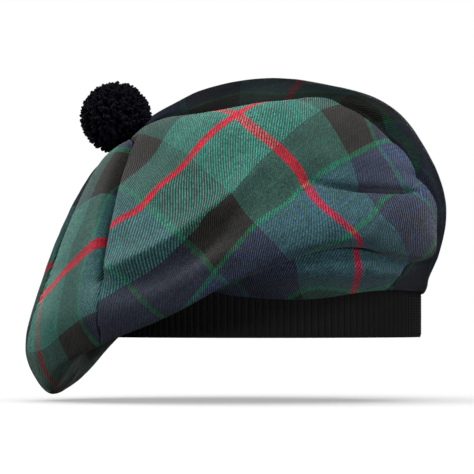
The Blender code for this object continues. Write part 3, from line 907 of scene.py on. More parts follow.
FAR_MARKS = (
    # the red line over the crest
    Mark(296, 83, None, 0), Mark(292, 91, None, 0), Mark(288, 100, None, 0),
    # where the green stripe ends, and the thin lines down the right side
    Mark(343, 100, None, 26), Mark(388, 122, None, 51), Mark(404, 154, None, 80), Mark(412, 166, None, 80),
    Mark(416, 208, None, 108), Mark(433, 240, None, 108),
    # the thin line that dips behind the crest
    Mark(248, 88, 52), Mark(262, 92, 52), Mark(284, 96, 52), Mark(380, 130, 52), Mark(396, 139, 52),
    Mark(413, 148, 52), Mark(428, 156, 52),
)


@dataclass(frozen=True)
class TwillWool:
    """Twill-woven wool, dyed in the yarn: a 2/2 twill of woollen threads.

    It gives the eye a soft matt face with a fine diagonal rib, a mixed shade wherever two stripes of
    different yarn cross, and a pale bloom of raised fibre at glancing angles.

    thread is a thread's width.  float_share is how far the rib shifts the two sets' shares of the face,
    and the red floats are how much more of it a red thread takes, or less where below zero.  The
    shade of the rib's hollows is painted shade: it darkens the colour in the hollows of the rib, where
    shade would fall.  The other shades are how far the cloth varies from thread to thread, from
    crossing to crossing and, over heather_run, slowly.
    """

    sett: Sett = Sett()
    thread: float = 0.00057
    float_share: float = 0.34
    red_warp_float: float = 0.44
    red_weft_float: float = 0.24
    # painted shade: how far the colour is darkened in the hollows of the rib
    rib_hollow_painted_shade: float = 0.74
    thread_shade: float = 0.20
    crossing_shade: float = 0.55
    heather_run: float = 0.016
    heather_shade: float = 0.16
    heather_range: tuple = (0.3, 0.7)
    heather_detail: float = 4.0
    rib_height: float = 0.00055
    rib_strength: float = 0.7
    roughness: float = 0.92
    sheen: float = 0.10
    sheen_roughness: float = 0.5
    specular: float = 0.15

    def stripe_colour(self, tree: bpy.types.NodeTree, place: bpy.types.NodeSocket) -> bpy.types.Node:
        """Add the nodes that read the sett across one set of threads.

        Args:
            tree: the material's tree.
            place: the distance across those threads, in metres.

        Returns:
            The ramp, whose colour is the yarn's and whose alpha is 1 where it is red.
        """
        half = self.sett.half_units
        units = add_node(tree, "ShaderNodeMath", {0: place, 1: self.sett.unit}, operation="DIVIDE")
        folded = add_node(tree, "ShaderNodeMath", {0: units, 1: half}, operation="PINGPONG")
        share = add_node(tree, "ShaderNodeMath", {0: folded, 1: half}, operation="DIVIDE")
        ramp = add_node(tree, "ShaderNodeValToRGB", {0: share})
        ramp.color_ramp.interpolation = "CONSTANT"
        start = 0.0
        for number, stripe in enumerate(self.sett.stripes):
            stops = ramp.color_ramp.elements
            stop = stops[number] if number < 2 else stops.new(start)
            stop.position = start
            stop.color = (*linear(stripe.yarn.value)[:3], 1.0 if stripe.yarn is Yarn.RED else 0.0)
            start = stripe.end / half
        return ramp

    def thread_number(self, tree: bpy.types.NodeTree, place: bpy.types.NodeSocket) -> tuple:
        """Add the nodes that number one set of threads.

        Args:
            tree: the material's tree.
            place: the distance across those threads, in metres.

        Returns:
            The thread's number, its middle in metres, and a random shade for it, as outputs.
        """
        count = add_node(tree, "ShaderNodeMath", {0: place, 1: self.thread}, operation="DIVIDE")
        number = add_node(tree, "ShaderNodeMath", {0: count}, operation="FLOOR")
        middle = add_node(
            tree, "ShaderNodeMath",
            {0: number, 1: self.thread, 2: 0.5 * self.thread},
            operation="MULTIPLY_ADD",
        )
        random = add_node(tree, "ShaderNodeTexWhiteNoise", {"W": number}, noise_dimensions="1D")
        return number.outputs[0], middle.outputs[0], random.outputs["Value"]

    def material(self, name: str) -> bpy.types.Material:
        """Make the cloth's material, which reads the piece's own attribute of places on the cloth."""
        material = bpy.data.materials.new(name)
        material.use_nodes = True
        tree = material.node_tree
        shader = tree.nodes["Principled BSDF"]
        place = add_node(tree, "ShaderNodeAttribute", attribute_name=WEAVE_ATTRIBUTE)
        split = add_node(tree, "ShaderNodeSeparateXYZ", {0: place.outputs["Vector"]})
        warp_number, warp_middle, warp_random = self.thread_number(tree, split.outputs[0])
        weft_number, weft_middle, weft_random = self.thread_number(tree, split.outputs[1])
        warp = self.stripe_colour(tree, warp_middle)
        weft = self.stripe_colour(tree, weft_middle)
        # The twill's diagonal rib, as a smooth wave along the difference of the two distances.  The
        # first set of threads floats over its crests, and the second set over the hollows.
        across = add_node(tree, "ShaderNodeMath", {0: split, 1: split.outputs[1]}, operation="SUBTRACT")
        turns = add_node(
            tree, "ShaderNodeMath", {0: across, 1: 2 * math.pi / (4 * self.thread)}, operation="MULTIPLY"
        )
        wave = add_node(tree, "ShaderNodeMath", {0: turns}, operation="SINE")
        rib = add_node(tree, "ShaderNodeMath", {0: wave, 1: 0.5, 2: 0.5}, operation="MULTIPLY_ADD")
        # A red thread lies higher than its neighbours, so more of it shows.
        below_red_warp = add_node(
            tree, "ShaderNodeMath",
            {0: warp.outputs["Alpha"], 1: -self.red_warp_float, 2: 0.5},
            operation="MULTIPLY_ADD",
        )
        level = add_node(
            tree, "ShaderNodeMath",
            {0: weft.outputs["Alpha"], 1: self.red_weft_float, 2: below_red_warp},
            operation="MULTIPLY_ADD",
        )
        weft_share = add_node(
            tree, "ShaderNodeMath",
            {0: wave, 1: -self.float_share, 2: level},
            operation="MULTIPLY_ADD", use_clamp=True,
        )
        yarn = add_node(
            tree, "ShaderNodeMix",
            {0: weft_share, 6: warp.outputs["Color"], 7: weft.outputs["Color"]},
            data_type="RGBA",
        )
        # Painted shade darker between the ribs, where the rib's hollows would be in shade, times the cloth's
        # own tone, uneven from thread to thread and slowly heathered.
        spread = add_node(
            tree, "ShaderNodeMix", {0: weft_share, 2: warp_random, 3: weft_random}, data_type="FLOAT"
        )
        crossing = add_node(tree, "ShaderNodeCombineXYZ", {0: warp_number, 1: weft_number})
        speck = add_node(tree, "ShaderNodeTexWhiteNoise", {"Vector": crossing}, noise_dimensions="2D")
        coordinates = add_node(tree, "ShaderNodeTexCoord")
        heather = add_node(
            tree, "ShaderNodeTexNoise",
            {"Vector": coordinates.outputs["Object"], "Scale": 1 / self.heather_run,
             "Detail": self.heather_detail},
        )
        shades = (
            # painted shade in the rib's hollows; the three rows after it are the cloth's own uneven tone
            (rib, self.rib_hollow_painted_shade, 0.0, (0.0, 1.0)),
            (spread, self.thread_shade, self.thread_shade, (0.0, 1.0)),
            (speck.outputs["Value"], self.crossing_shade, self.crossing_shade, (0.0, 1.0)),
            (heather, self.heather_shade, self.heather_shade, self.heather_range),
        )
        parts = [
            add_node(
                tree, "ShaderNodeMapRange",
                {"Value": source, "From Min": lowest, "From Max": highest,
                 "To Min": 1 - darker, "To Max": 1 + lighter},
            )
            for source, darker, lighter, (lowest, highest) in shades
        ]
        shade = parts[0]
        for part in parts[1:]:
            shade = add_node(tree, "ShaderNodeMath", {0: shade, 1: part}, operation="MULTIPLY")
        colour = add_node(
            tree, "ShaderNodeVectorMath", {0: yarn.outputs[2], "Scale": shade}, operation="SCALE"
        )
        bump = add_node(
            tree, "ShaderNodeBump",
            {"Height": rib, "Strength": self.rib_strength, "Distance": self.rib_height},
        )
        tree.links.new(colour.outputs[0], shader.inputs["Base Color"])
        tree.links.new(bump.outputs[0], shader.inputs["Normal"])
        shader.inputs["Roughness"].default_value = self.roughness
        shader.inputs["Sheen Weight"].default_value = self.sheen
        shader.inputs["Sheen Roughness"].default_value = self.sheen_roughness
        shader.inputs["Specular IOR Level"].default_value = self.specular
        return material


# ---------------------------------------------------------------- the gores
@dataclass(frozen=True)
class CutGrid:
    """How finely a gore is sampled to lay it out flat, and how its marks are met.

    The marks are looked for from marks_station down, on points that lie finer times closer than the
    grid's.  A mark takes in the points within mark_pixels of it whose depth is within mark_depth of the
    front one's.  Each easing has its reach in metres and its multiple of the gore's slack.  The grid is
    laid flat in flat_rounds rounds.
    """

    columns: int = 48
    rows: int = 80
    first_station: float = 0.35
    flat_rounds: int = 30
    bias_degrees: float = 45.0
    marks_station: float = 1.0
    finer: int = 4
    mark_pixels: float = 2.2
    mark_depth: float = 0.004
    easings: tuple = ((0.045, 1), (0.014, 3))


@dataclass
class Gore:
    """One gore of the crown: a sheet of the tartan, laid out flat, sewn in and folded.

    slack is how loosely its marks are met.  Along a seam the edge turns in round turn_radius, or round
    turn_width_share of the gore's width where that is less, and its allowance goes on inside for at most
    allowance_turns such radii.  seam_hair is half the hair's breadth between two gores at a seam.  The
    lower edge turns in round hem_radius.
    """

    name: str
    node: str
    first_section: int
    columns: int
    marks: tuple = ()
    slack: float = 0.1
    red_weft_float: float = 0.24
    rows: int = 196
    thickness: float = 0.0013
    turn_radius: float = 0.0013
    turn_width_share: float = 0.2
    turn_steps: int = 5
    allowance: float = 0.006
    allowance_turns: float = 3.0
    allowance_shares: tuple = (0.1, 1.0)
    seam_hair: float = 0.00005
    hem_radius: float = 0.0012
    hem_steps: int = 4
    first_station: float = 0.42
    measured_cuts: int = 64
    measured_stations: int = 400
    grid: CutGrid = CutGrid()

    def cut_places(self) -> tuple:
        """Sections and stations of the coarse grid, each (column, row)."""
        section = self.first_section + np.linspace(0, SECTIONS_PER_GORE, self.grid.columns + 1)
        station = np.linspace(self.grid.first_station, LAST_STATION, self.grid.rows + 1)
        return np.meshgrid(section, station, indexing="ij")

    def lay_flat(self, form: DressedCrown) -> np.ndarray:
        """Lay the gore out flat, as it was cut.

        Args:
            form: the crown.

        Returns:
            Flat places of the coarse grid, (column, row, 2), in metres: x against the sections and y
            down from the toorie, as the gore is seen from outside.
        """
        section, station = self.cut_places()
        points = form.folded(section.ravel(), station.ravel())
        mesh = bpy.data.meshes.new(self.name + "_cut")
        index = np.arange(section.size).reshape(section.shape)
        faces = np.stack([index[:-1, :-1], index[1:, :-1], index[1:, 1:], index[:-1, 1:]], -1).reshape(-1, 4)
        mesh.from_pydata(points.tolist(), [], faces.tolist())
        cut = bpy.data.objects.new(self.name + "_cut", mesh)
        bpy.context.scene.collection.objects.link(cut)
        mesh.uv_layers.new(name="flat")
        bpy.context.view_layer.objects.active = cut
        cut.select_set(True)
        bpy.ops.object.mode_set(mode="EDIT")
        bpy.ops.mesh.select_all(action="SELECT")
        bpy.ops.uv.unwrap(method="MINIMUM_STRETCH", margin=0.0, iterations=self.grid.flat_rounds)
        bpy.ops.object.mode_set(mode="OBJECT")
        loops = len(mesh.loops)
        corner = np.zeros(2 * loops, np.float32)
        mesh.uv_layers["flat"].uv.foreach_get("vector", corner)
        vertex = np.zeros(loops, np.int32)
        mesh.loops.foreach_get("vertex_index", vertex)
        flat = np.zeros((section.size, 2))
        flat[vertex] = corner.reshape(-1, 2)
        bpy.data.objects.remove(cut)
        points = points.reshape(*section.shape, 3)
        flat = flat.reshape(*section.shape, 2)
        flat *= math.sqrt(self.area_of(points) / self.area_of(flat))
        down = flat[self.grid.columns // 2, -1] - flat[self.grid.columns // 2, 0]
        down /= np.linalg.norm(down)
        flat = np.stack([flat @ np.array([down[1], -down[0]]), flat @ down], -1)
        if (flat[-1] - flat[0])[:, 0].mean() > 0:
            flat[..., 0] *= -1
        return flat - flat[self.grid.columns // 2, 0]

    @staticmethod
    def area_of(grid: np.ndarray) -> float:
        """The area of a grid of points in two or three dimensions."""
        around = grid[1:, :-1] - grid[:-1, :-1]
        down = grid[:-1, 1:] - grid[:-1, :-1]
        lengths = (around**2).sum(-1) * (down**2).sum(-1) - (around * down).sum(-1) ** 2
        return float(np.sqrt(np.maximum(lengths, 0)).sum())

    def read_grid(self, grid: np.ndarray, section: np.ndarray, station: np.ndarray) -> np.ndarray:
        """Read the coarse grid between its points.

        Args:
            grid: (column, row, value).
            section: section numbers.
            station: stations.

        Returns:
            The values there, (place, value).
        """
        span = LAST_STATION - self.grid.first_station
        column = (section - self.first_section) / SECTIONS_PER_GORE * self.grid.columns
        row = (station - self.grid.first_station) / span * self.grid.rows
        left = np.clip(np.floor(column).astype(int), 0, self.grid.columns - 1)
        top = np.clip(np.floor(row).astype(int), 0, self.grid.rows - 1)
        across, down = (column - left)[:, None], (row - top)[:, None]
        return (
            grid[left, top] * (1 - across) * (1 - down)
            + grid[left + 1, top] * across * (1 - down)
            + grid[left, top + 1] * (1 - across) * down
            + grid[left + 1, top + 1] * across * down
        )

    def lay_tartan(self, form: DressedCrown, view: PhotoView, sett: Sett) -> np.ndarray:
        """Work out where each point of the coarse grid lies on the tartan.

        The cut lies on the bias.  Where the photograph shows the gore, it is turned, shifted and eased
        so that its stripes pass through the marks.

        Args:
            form: the crown.
            view: the photograph's view.
            sett: the tartan.

        Returns:
            Distances across the two sets of threads, (column, row, 2), in metres.
        """
        flat = self.lay_flat(form)
        self.flat_size = np.ptp(flat.reshape(-1, 2), axis=0)
        self.flat_area = self.area_of(flat)
        grid = self.grid
        bias = math.radians(grid.bias_degrees)
        turn = np.array([math.cos(bias), math.sin(bias)])
        section_fine = self.first_section + np.linspace(0, SECTIONS_PER_GORE, grid.finer * grid.columns + 1)
        station_fine = np.linspace(grid.marks_station, LAST_STATION, grid.finer * grid.rows + 1)
        section_fine, station_fine = (
            values.ravel() for values in np.meshgrid(section_fine, station_fine, indexing="ij")
        )
        pixels, depth = view.pixels(form.folded(section_fine, station_fine))
        flat_fine = self.read_grid(flat, section_fine, station_fine)
        seen = []
        for mark in self.marks:
            near = np.flatnonzero(np.hypot(*(pixels - [mark.x, mark.y]).T) < grid.mark_pixels)
            if not len(near):
                LOG.info("%s: no cloth at mark %s, %s", self.name, mark.x, mark.y)
                continue
            front = near[depth[near] < depth[near].min() + grid.mark_depth]
            seen.append((mark, flat_fine[front].mean(0)))
        place = self.fit_place(seen, sett, turn)
        known = self.across_threads(flat, place)
        for axis, name in enumerate(("a", "b")):
            marked = [(at, getattr(mark, name)) for mark, at in seen if getattr(mark, name) is not None]
            at = np.array([row[0] for row in marked])
            wanted = np.array([row[1] for row in marked]) * sett.unit
            error = wanted - self.across_threads(at, place)[:, axis]
            LOG.info("%s: marks on %s were off by %.1f mm", self.name, name, 1000 * np.abs(error).mean())
            for reach, looseness in grid.easings:
                slack = looseness * self.slack
                eased = self.ease(flat.reshape(-1, 2), at, error, reach, slack)
                known[..., axis] += eased.reshape(flat.shape[:2])
                error = error - self.ease(at, at, error, reach, slack)
        return known

    @staticmethod
    def across_threads(flat: np.ndarray, place: np.ndarray) -> np.ndarray:
        """Distances across both sets of threads, for flat places and a placing of the cut."""
        cosine, sine, first, second = place
        return np.stack([
            cosine * flat[..., 0] + sine * flat[..., 1] + first,
            cosine * flat[..., 1] - sine * flat[..., 0] + second,
        ], -1)

    @staticmethod
    def fit_place(seen: list, sett: Sett, turn: np.ndarray) -> np.ndarray:
        """Turn and shift the cut on the tartan so that it meets the marks best.

        Args:
            seen: pairs of a mark and its flat place.
            sett: the tartan.
            turn: the cosine and sine of the cut's turn, which a few marks alone can't tell.

        Returns:
            The cosine and sine of its turn, and its two shifts.
        """
        rows, wanted = [], []
        for mark, at in seen:
            if mark.a is not None:
                rows.append([at[0], at[1], 1, 0])
                wanted.append(mark.a * sett.unit)
            if mark.b is not None:
                rows.append([at[1], -at[0], 0, 1])
                wanted.append(mark.b * sett.unit)
        rows, wanted = np.array(rows, float), np.array(wanted)
        if len(rows) > 4:
            found = np.linalg.lstsq(rows, wanted, rcond=None)[0]
            scale = math.hypot(found[0], found[1])
            turn = found[:2] / scale
        rest = wanted - rows[:, :2] @ turn
        shift = np.linalg.lstsq(rows[:, 2:], rest, rcond=None)[0]
        return np.concatenate([turn, shift])

    @staticmethod
    def ease(places: np.ndarray, at: np.ndarray, error: np.ndarray, reach: float,
             slack: float) -> np.ndarray:
        """Smooth corrections that take up the errors known at a few places.

        Args:
            places: flat places that need a correction, (place, 2).
            at: flat places of the marks.
            error: the errors there.
            reach: how far a mark's correction spreads, in metres.
            slack: how loosely the marks are met.

        Returns:
            One correction for each place.
        """

        def pull(first: np.ndarray, second: np.ndarray) -> np.ndarray:
            gap = np.linalg.norm(first[:, None] - second[None], axis=2)
            return np.exp(-((gap / reach) ** 2))

        weight = np.linalg.solve(pull(at, at) + slack * np.eye(len(at)), error)
        return pull(places, at) @ weight

    def stations(self, form: DressedCrown) -> np.ndarray:
        """Stations down the crown that lie evenly along it, the same for every gore."""
        fine = np.linspace(self.first_station, LAST_STATION, self.measured_stations)
        section = np.linspace(0, len(SECTIONS), self.measured_cuts, endpoint=False)
        grid = np.meshgrid(section, fine, indexing="ij")
        points = form.smooth(*(values.ravel() for values in grid)).reshape(*grid[0].shape, 3)
        run = np.linalg.norm(np.diff(points, axis=1), axis=2).mean(0)
        length = np.concatenate([[0], np.cumsum(run)])
        return np.interp(np.linspace(0, length[-1], self.rows + 1), length, fine)

    def build(self, form: DressedCrown, view: PhotoView, cloth: TwillWool) -> bpy.types.Object:
        """Make the gore's piece and dress it."""
        tartan = self.lay_tartan(form, view, cloth.sett)
        station = self.stations(form)
        outer, normals, cloth_place = self.face(form, station, tartan)
        outer, normals, cloth_place = self.turn_lower_edge(outer, normals, cloth_place)
        inner = outer - self.thickness * normals
        mesh = mesh_from_grid(self.name, outer, inner, closed=False)
        places = np.zeros((2 * cloth_place[..., 0].size, 3))
        places[:, :2] = np.tile(cloth_place.reshape(-1, 2), (2, 1))
        attribute = mesh.attributes.new(WEAVE_ATTRIBUTE, "FLOAT_VECTOR", "POINT")
        attribute.data.foreach_set("vector", places.astype(np.float32).ravel())
        cloth = replace(cloth, red_weft_float=self.red_weft_float)
        mesh.materials.append(cloth.material(self.name + "_twill_wool"))
        piece = place_piece(self.name, mesh, [self.node])
        return piece

    def face(self, form: DressedCrown, station: np.ndarray, tartan: np.ndarray) -> tuple:
        """The gore's outer face, from one seam's turned-in allowance to the other's.

        Args:
            form: the crown.
            station: the stations of its rows.
            tartan: the coarse grid's places on the tartan.

        Returns:
            Points, normals and places on the tartan, each (column, row, value).
        """
        first = seam_sections(self.first_section, station)
        last = seam_sections(self.first_section + SECTIONS_PER_GORE, station)
        seam_around = [
            np.linalg.norm(form.slopes(form.smooth, edge, station)[0], axis=1) for edge in (first, last)
        ]
        width = 0.5 * SECTIONS_PER_GORE * (seam_around[0] + seam_around[1])
        radius = np.minimum(self.turn_radius, self.turn_width_share * width)
        low = first + radius / seam_around[0]
        high = last - radius / seam_around[1]
        share = np.linspace(0, 1, self.columns + 1)[:, None]
        section = low[None] * (1 - share) + high[None] * share
        rows = np.broadcast_to(station, section.shape)
        flat_section, flat_rows = section.ravel(), rows.ravel()
        points = form.dressed(flat_section, flat_rows).reshape(*section.shape, 3)
        places = self.read_grid(tartan, flat_section, flat_rows).reshape(*section.shape, 2)
        normals = self.grid_normals(points)
        edges = []
        for edge, at in ((first, 0), (last, -1)):
            seam = form.dressed(edge, station)
            facing = form.normals(form.dressed, edge, station)
            inside_place = places[2 if at == 0 else -3]
            edges.append(
                self.turned_edge(points[at], normals[at], seam, facing, places[at], inside_place)
            )
        near_edge = [np.flip(part, axis=0) for part in edges[0]]
        return tuple(
            np.concatenate([start, middle, end])
            for start, middle, end in zip(near_edge, (points, normals, places), edges[1])
        )

    @staticmethod
    def grid_normals(points: np.ndarray) -> np.ndarray:
        """Outward unit normals of a grid of points."""
        normal = np.cross(np.gradient(points, axis=0), np.gradient(points, axis=1))
        return normal / np.linalg.norm(normal, axis=-1, keepdims=True)

    def turned_edge(self, edge: np.ndarray, normal: np.ndarray, seam: np.ndarray, facing: np.ndarray,
                    place: np.ndarray, inside_place: np.ndarray) -> tuple:
        """The columns that turn a gore's edge in at a seam, and its seam allowance inside.

        Args:
            edge: the last column before the turn.
            normal: its normals.
            seam: the seam line.
            facing: the crown's normals along it, which both gores' allowances follow inward.
            place: the edge's places on the tartan.
            inside_place: the same for the column two further in.

        Returns:
            Points, normals and places on the tartan of the added columns.
        """
        out = seam - edge
        out -= (out * normal).sum(1, keepdims=True) * normal
        radius = np.linalg.norm(out, axis=1, keepdims=True)
        out = out / np.maximum(radius, 1e-9)
        drift = place - inside_place
        drift /= np.maximum(np.linalg.norm(drift, axis=1, keepdims=True), 1e-9)
        columns = []
        for angle in np.linspace(0, math.pi / 2, self.turn_steps + 1)[1:]:
            sideways = radius * math.sin(angle) - self.seam_hair
            moved = edge + out * sideways - normal * radius * (1 - math.cos(angle))
            turned = normal * math.cos(angle) + out * math.sin(angle)
            columns.append((moved, turned, place + drift * radius * angle))
        deep = np.minimum(self.allowance, self.allowance_turns * radius)
        foot = seam - facing * radius - out * self.seam_hair
        turned, at = columns[-1][1:]
        for share in self.allowance_shares:
            columns.append((foot - facing * deep * share, turned, at + drift * deep * share))
        return tuple(np.stack(part) for part in zip(*columns))

    def turn_lower_edge(self, points: np.ndarray, normals: np.ndarray, places: np.ndarray) -> tuple:
        """Add the rows that turn the lower edge in to the band."""
        down = points[:, -1] - points[:, -2]
        down /= np.linalg.norm(down, axis=1, keepdims=True)
        drift = places[:, -1] - places[:, -2]
        drift /= np.maximum(np.linalg.norm(drift, axis=1, keepdims=True), 1e-9)
        radius = self.hem_radius
        edge, normal = points[:, -1], normals[:, -1]
        rows = []
        for angle in np.linspace(0, math.pi / 2, self.hem_steps + 1)[1:]:
            moved = edge + radius * (down * math.sin(angle) - normal * (1 - math.cos(angle)))
            turned = normal * math.cos(angle) + down * math.sin(angle)
            rows.append((moved, turned, places[:, -1] + drift * radius * angle))
        return tuple(
            np.concatenate([grid, np.stack(added, 1)], axis=1)
            for grid, added in zip((points, normals, places), zip(*rows))
        )


@dataclass
class Crown:
    """The crown: four gores of one tartan wool."""

    form: DressedCrown = field(default_factory=DressedCrown)
    cloth: TwillWool = TwillWool()
    gores: tuple = (
        Gore("crown_gore_near", "crown_panel_near", 0, 186, NEAR_MARKS),
        Gore("crown_gore_left", "crown_panel_left", 4, 84, LEFT_MARKS, 0.15, -0.12),
        Gore("crown_gore_far_left", "crown_panel_far_left", 8, 110, FAR_LEFT_MARKS),
        Gore("crown_gore_far", "crown_panel_far", 12, 176, FAR_MARKS, 0.5),
    )

    def build(self, view: PhotoView) -> None:
        """Make the four gores."""
        for gore in self.gores:
            gore.build(self.form, view, self.cloth)


# ---------------------------------------------------------------- the band
@dataclass(frozen=True)
class SpunYarn:
    """A spun wool yarn: its colour, the fibres on its face (in metres) and its gloss."""

    colour: str
    fibre_run: float
    fibre_detail: float
    fibre_shade: float
    fibre_height: float
    fibre_strength: float
    roughness: float
    sheen: float
    specular: float

    def material(self, name: str) -> bpy.types.Material:
        """Make the yarn's material."""
        material = bpy.data.materials.new(name)
        material.use_nodes = True
        tree = material.node_tree
        shader = tree.nodes["Principled BSDF"]
        coordinates = add_node(tree, "ShaderNodeTexCoord")
        fibre = add_node(
            tree, "ShaderNodeTexNoise",
            {"Vector": coordinates.outputs["Object"], "Scale": 1 / self.fibre_run,
             "Detail": self.fibre_detail},
        )
        shade = add_node(
            tree, "ShaderNodeMapRange",
            {"Value": fibre, "To Min": 1 - self.fibre_shade, "To Max": 1 + self.fibre_shade},
        )
        colour = add_node(
            tree, "ShaderNodeVectorMath", {0: linear(self.colour)[:3], "Scale": shade}, operation="SCALE"
        )
        bump = add_node(
            tree, "ShaderNodeBump",
            {"Height": fibre, "Strength": self.fibre_strength, "Distance": self.fibre_height},
        )
        tree.links.new(colour.outputs[0], shader.inputs["Base Color"])
        tree.links.new(bump.outputs[0], shader.inputs["Normal"])
        shader.inputs["Roughness"].default_value = self.roughness
        shader.inputs["Sheen Weight"].default_value = self.sheen
        shader.inputs["Specular IOR Level"].default_value = self.specular
        return material


@dataclass(frozen=True)
class RibYarn(SpunYarn):
    """Black worsted yarn, dyed in the fleece and knitted in a single rib.

    It gives the eye a near-black matt face that only shows its stitches where light grazes them.
    """

    colour: str = "#0b0b0d"
    fibre_run: float = 0.0011
    fibre_detail: float = 3.0
    fibre_shade: float = 0.4
    fibre_height: float = 0.00012
    fibre_strength: float = 0.6
    roughness: float = 0.85
    sheen: float = 0.03
    specular: float = 0.2


@dataclass
class Band:
    """The knitted head band: a ring of knit fabric, and the rib of stitches on its outer face.

    A stitch is a V: its legs start stitch_foot to each side, bow out by stitch_rise and reach up for
    stitch_overlap courses.  At the rim the stitches roll in round stitch_round_share times rim_round.
    """

    size: BandSize = BandSize()
    yarn: RibYarn = RibYarn()
    ribs: int = 132
    courses: int = 17
    yarn_radius: float = 0.00048
    yarn_sides: int = 5
    stitch_half_width: float = 0.00105
    stitch_rise: float = 0.00060
    stitch_foot: float = 0.00015
    stitch_overlap: float = 1.15
    stitch_steps: int = 3
    rib_depth: float = 0.0007
    rim_round: float = 0.0014
    rim_steps: int = 4
    wall_steps: int = 8
    stitch_round_share: float = 1.6
    oval_steps: int = 512
    measured_steps: int = 4000
    steps_per_rib: int = 6

    def oval(self, turn: np.ndarray, inset: float) -> np.ndarray:
        """Points of the band's outer oval, drawn in by an inset, at turns in radians."""
        half_length = self.size.length / 2 - inset
        half_width = self.size.width / 2 - inset
        return np.stack([half_length * np.cos(turn), half_width * np.sin(turn)], -1)

    def even_turns(self, count: int) -> np.ndarray:
        """Turns that space points evenly round the oval."""
        fine = np.linspace(0, 2 * math.pi, self.measured_steps + 1)
        run = np.linalg.norm(np.diff(self.oval(fine, 0.0), axis=0), axis=1)
        length = np.concatenate([[0], np.cumsum(run)])
        return np.interp(np.arange(count) / count * length[-1], length, fine)

    def fabric(self) -> bpy.types.Mesh:
        """The ring of fabric behind the stitches, ribbed on both faces and rounded at the rim."""
        steps = self.ribs * self.steps_per_rib
        turns = self.even_turns(steps)
        wave = 0.5 - 0.5 * np.cos(2 * math.pi * np.arange(steps) / self.steps_per_rib)
        rim = self.rim_round
        rounds = [(rim * (1 - math.sin(angle)), rim * (1 - math.cos(angle)))
                  for angle in np.linspace(math.pi / 2, 0, self.rim_steps + 1)]
        straight = np.linspace(rim, self.size.height, self.wall_steps + 1)[1:]
        levels = [*rounds[::-1], *((0.0, height) for height in straight)]
        outer, inner = [], []
        for inset, height in levels[::-1]:
            outer_depth = self.rib_depth + inset
            for face, depth in ((outer, outer_depth), (inner, self.size.wall - outer_depth)):
                sign = 1 if face is outer else -1
                groove = sign * 0.5 * self.rib_depth * wave
                points = self.oval(turns, depth)
                outward = points / np.linalg.norm(points, axis=1, keepdims=True)
                ring = points - groove[:, None] * outward
                face.append(np.column_stack([ring, np.full(steps, height)]))
        outer, inner = np.stack(outer, 1)[::-1], np.stack(inner, 1)[::-1]
        return mesh_from_grid("band_fabric", outer, inner, closed=True)

    def stitch_tree(self) -> bpy.types.NodeTree:
        """The tree that sets columns of V stitches round the oval."""
        tree, given = new_tree("rib_stitches", {
            "Ribs": SocketKind.WHOLE,
            "Courses": SocketKind.WHOLE,
            "Half length": SocketKind.NUMBER,
            "Half width": SocketKind.NUMBER,
            "Course height": SocketKind.NUMBER,
            "Stitch half width": SocketKind.NUMBER,
            "Stitch rise": SocketKind.NUMBER,
            "Yarn radius": SocketKind.NUMBER,
            "Rim round": SocketKind.NUMBER,
            "Yarn": SocketKind.MATERIAL,
        })
        value = given.outputs
        profile = add_node(
            tree, "GeometryNodeCurvePrimitiveCircle",
            {"Resolution": self.yarn_sides, "Radius": value["Yarn radius"]},
            mode="RADIUS",
        )
        legs = add_node(tree, "GeometryNodeJoinGeometry")
        for side in (-1.0, 1.0):
            wide = add_node(
                tree, "ShaderNodeMath", {0: value["Stitch half width"], 1: side}, operation="MULTIPLY"
            )
            top = add_node(
                tree, "ShaderNodeMath",
                {0: value["Course height"], 1: self.stitch_overlap},
                operation="MULTIPLY",
            )
            foot = add_node(tree, "ShaderNodeCombineXYZ", {0: side * self.stitch_foot, 1: 0.0, 2: 0.0})
            bow = add_node(tree, "ShaderNodeCombineXYZ", {0: wide, 1: value["Stitch rise"], 2: 0.0})
            head = add_node(tree, "ShaderNodeCombineXYZ", {0: wide, 1: 0.0, 2: top})
            leg = add_node(
                tree, "GeometryNodeCurveQuadraticBezier",
                {"Resolution": self.stitch_steps, "Start": foot, "Middle": bow, "End": head},
            )
            strand = add_node(
                tree, "GeometryNodeCurveToMesh", {"Curve": leg, "Profile Curve": profile, "Fill Caps": False}
            )
            tree.links.new(strand.outputs[0], legs.inputs[0])
        rise = add_node(tree, "ShaderNodeCombineXYZ", {2: value["Course height"]})
        start = add_node(tree, "ShaderNodeCombineXYZ", {2: value["Yarn radius"]})
        column = add_node(
            tree, "GeometryNodeMeshLine",
            {"Count": value["Courses"], "Start Location": start, "Offset": rise},
            mode="OFFSET",
        )
        rib = add_node(tree, "GeometryNodeInstanceOnPoints", {"Points": column, "Instance": legs})
        ring = add_node(
            tree, "GeometryNodeCurvePrimitiveCircle",
            {"Resolution": self.oval_steps, "Radius": 1.0},
            mode="RADIUS",
        )
        stretch = add_node(
            tree, "ShaderNodeCombineXYZ", {0: value["Half length"], 1: value["Half width"], 2: 1.0}
        )
        oval = add_node(tree, "GeometryNodeTransform", {"Geometry": ring, "Scale": stretch})
        spaced = add_node(
            tree, "GeometryNodeResampleCurve", {"Curve": oval, "Count": value["Ribs"]}, mode="COUNT"
        )
        tangent = add_node(tree, "GeometryNodeInputTangent")
        facing = add_node(
            tree, "FunctionNodeAxesToRotation",
            {"Primary Axis": (0.0, 0.0, 1.0), "Secondary Axis": tangent},
            primary_axis="Z", secondary_axis="X",
        )
        ribs = add_node(
            tree, "GeometryNodeInstanceOnPoints", {"Points": spaced, "Instance": rib, "Rotation": facing}
        )
        real = add_node(tree, "GeometryNodeRealizeInstances", {0: ribs})
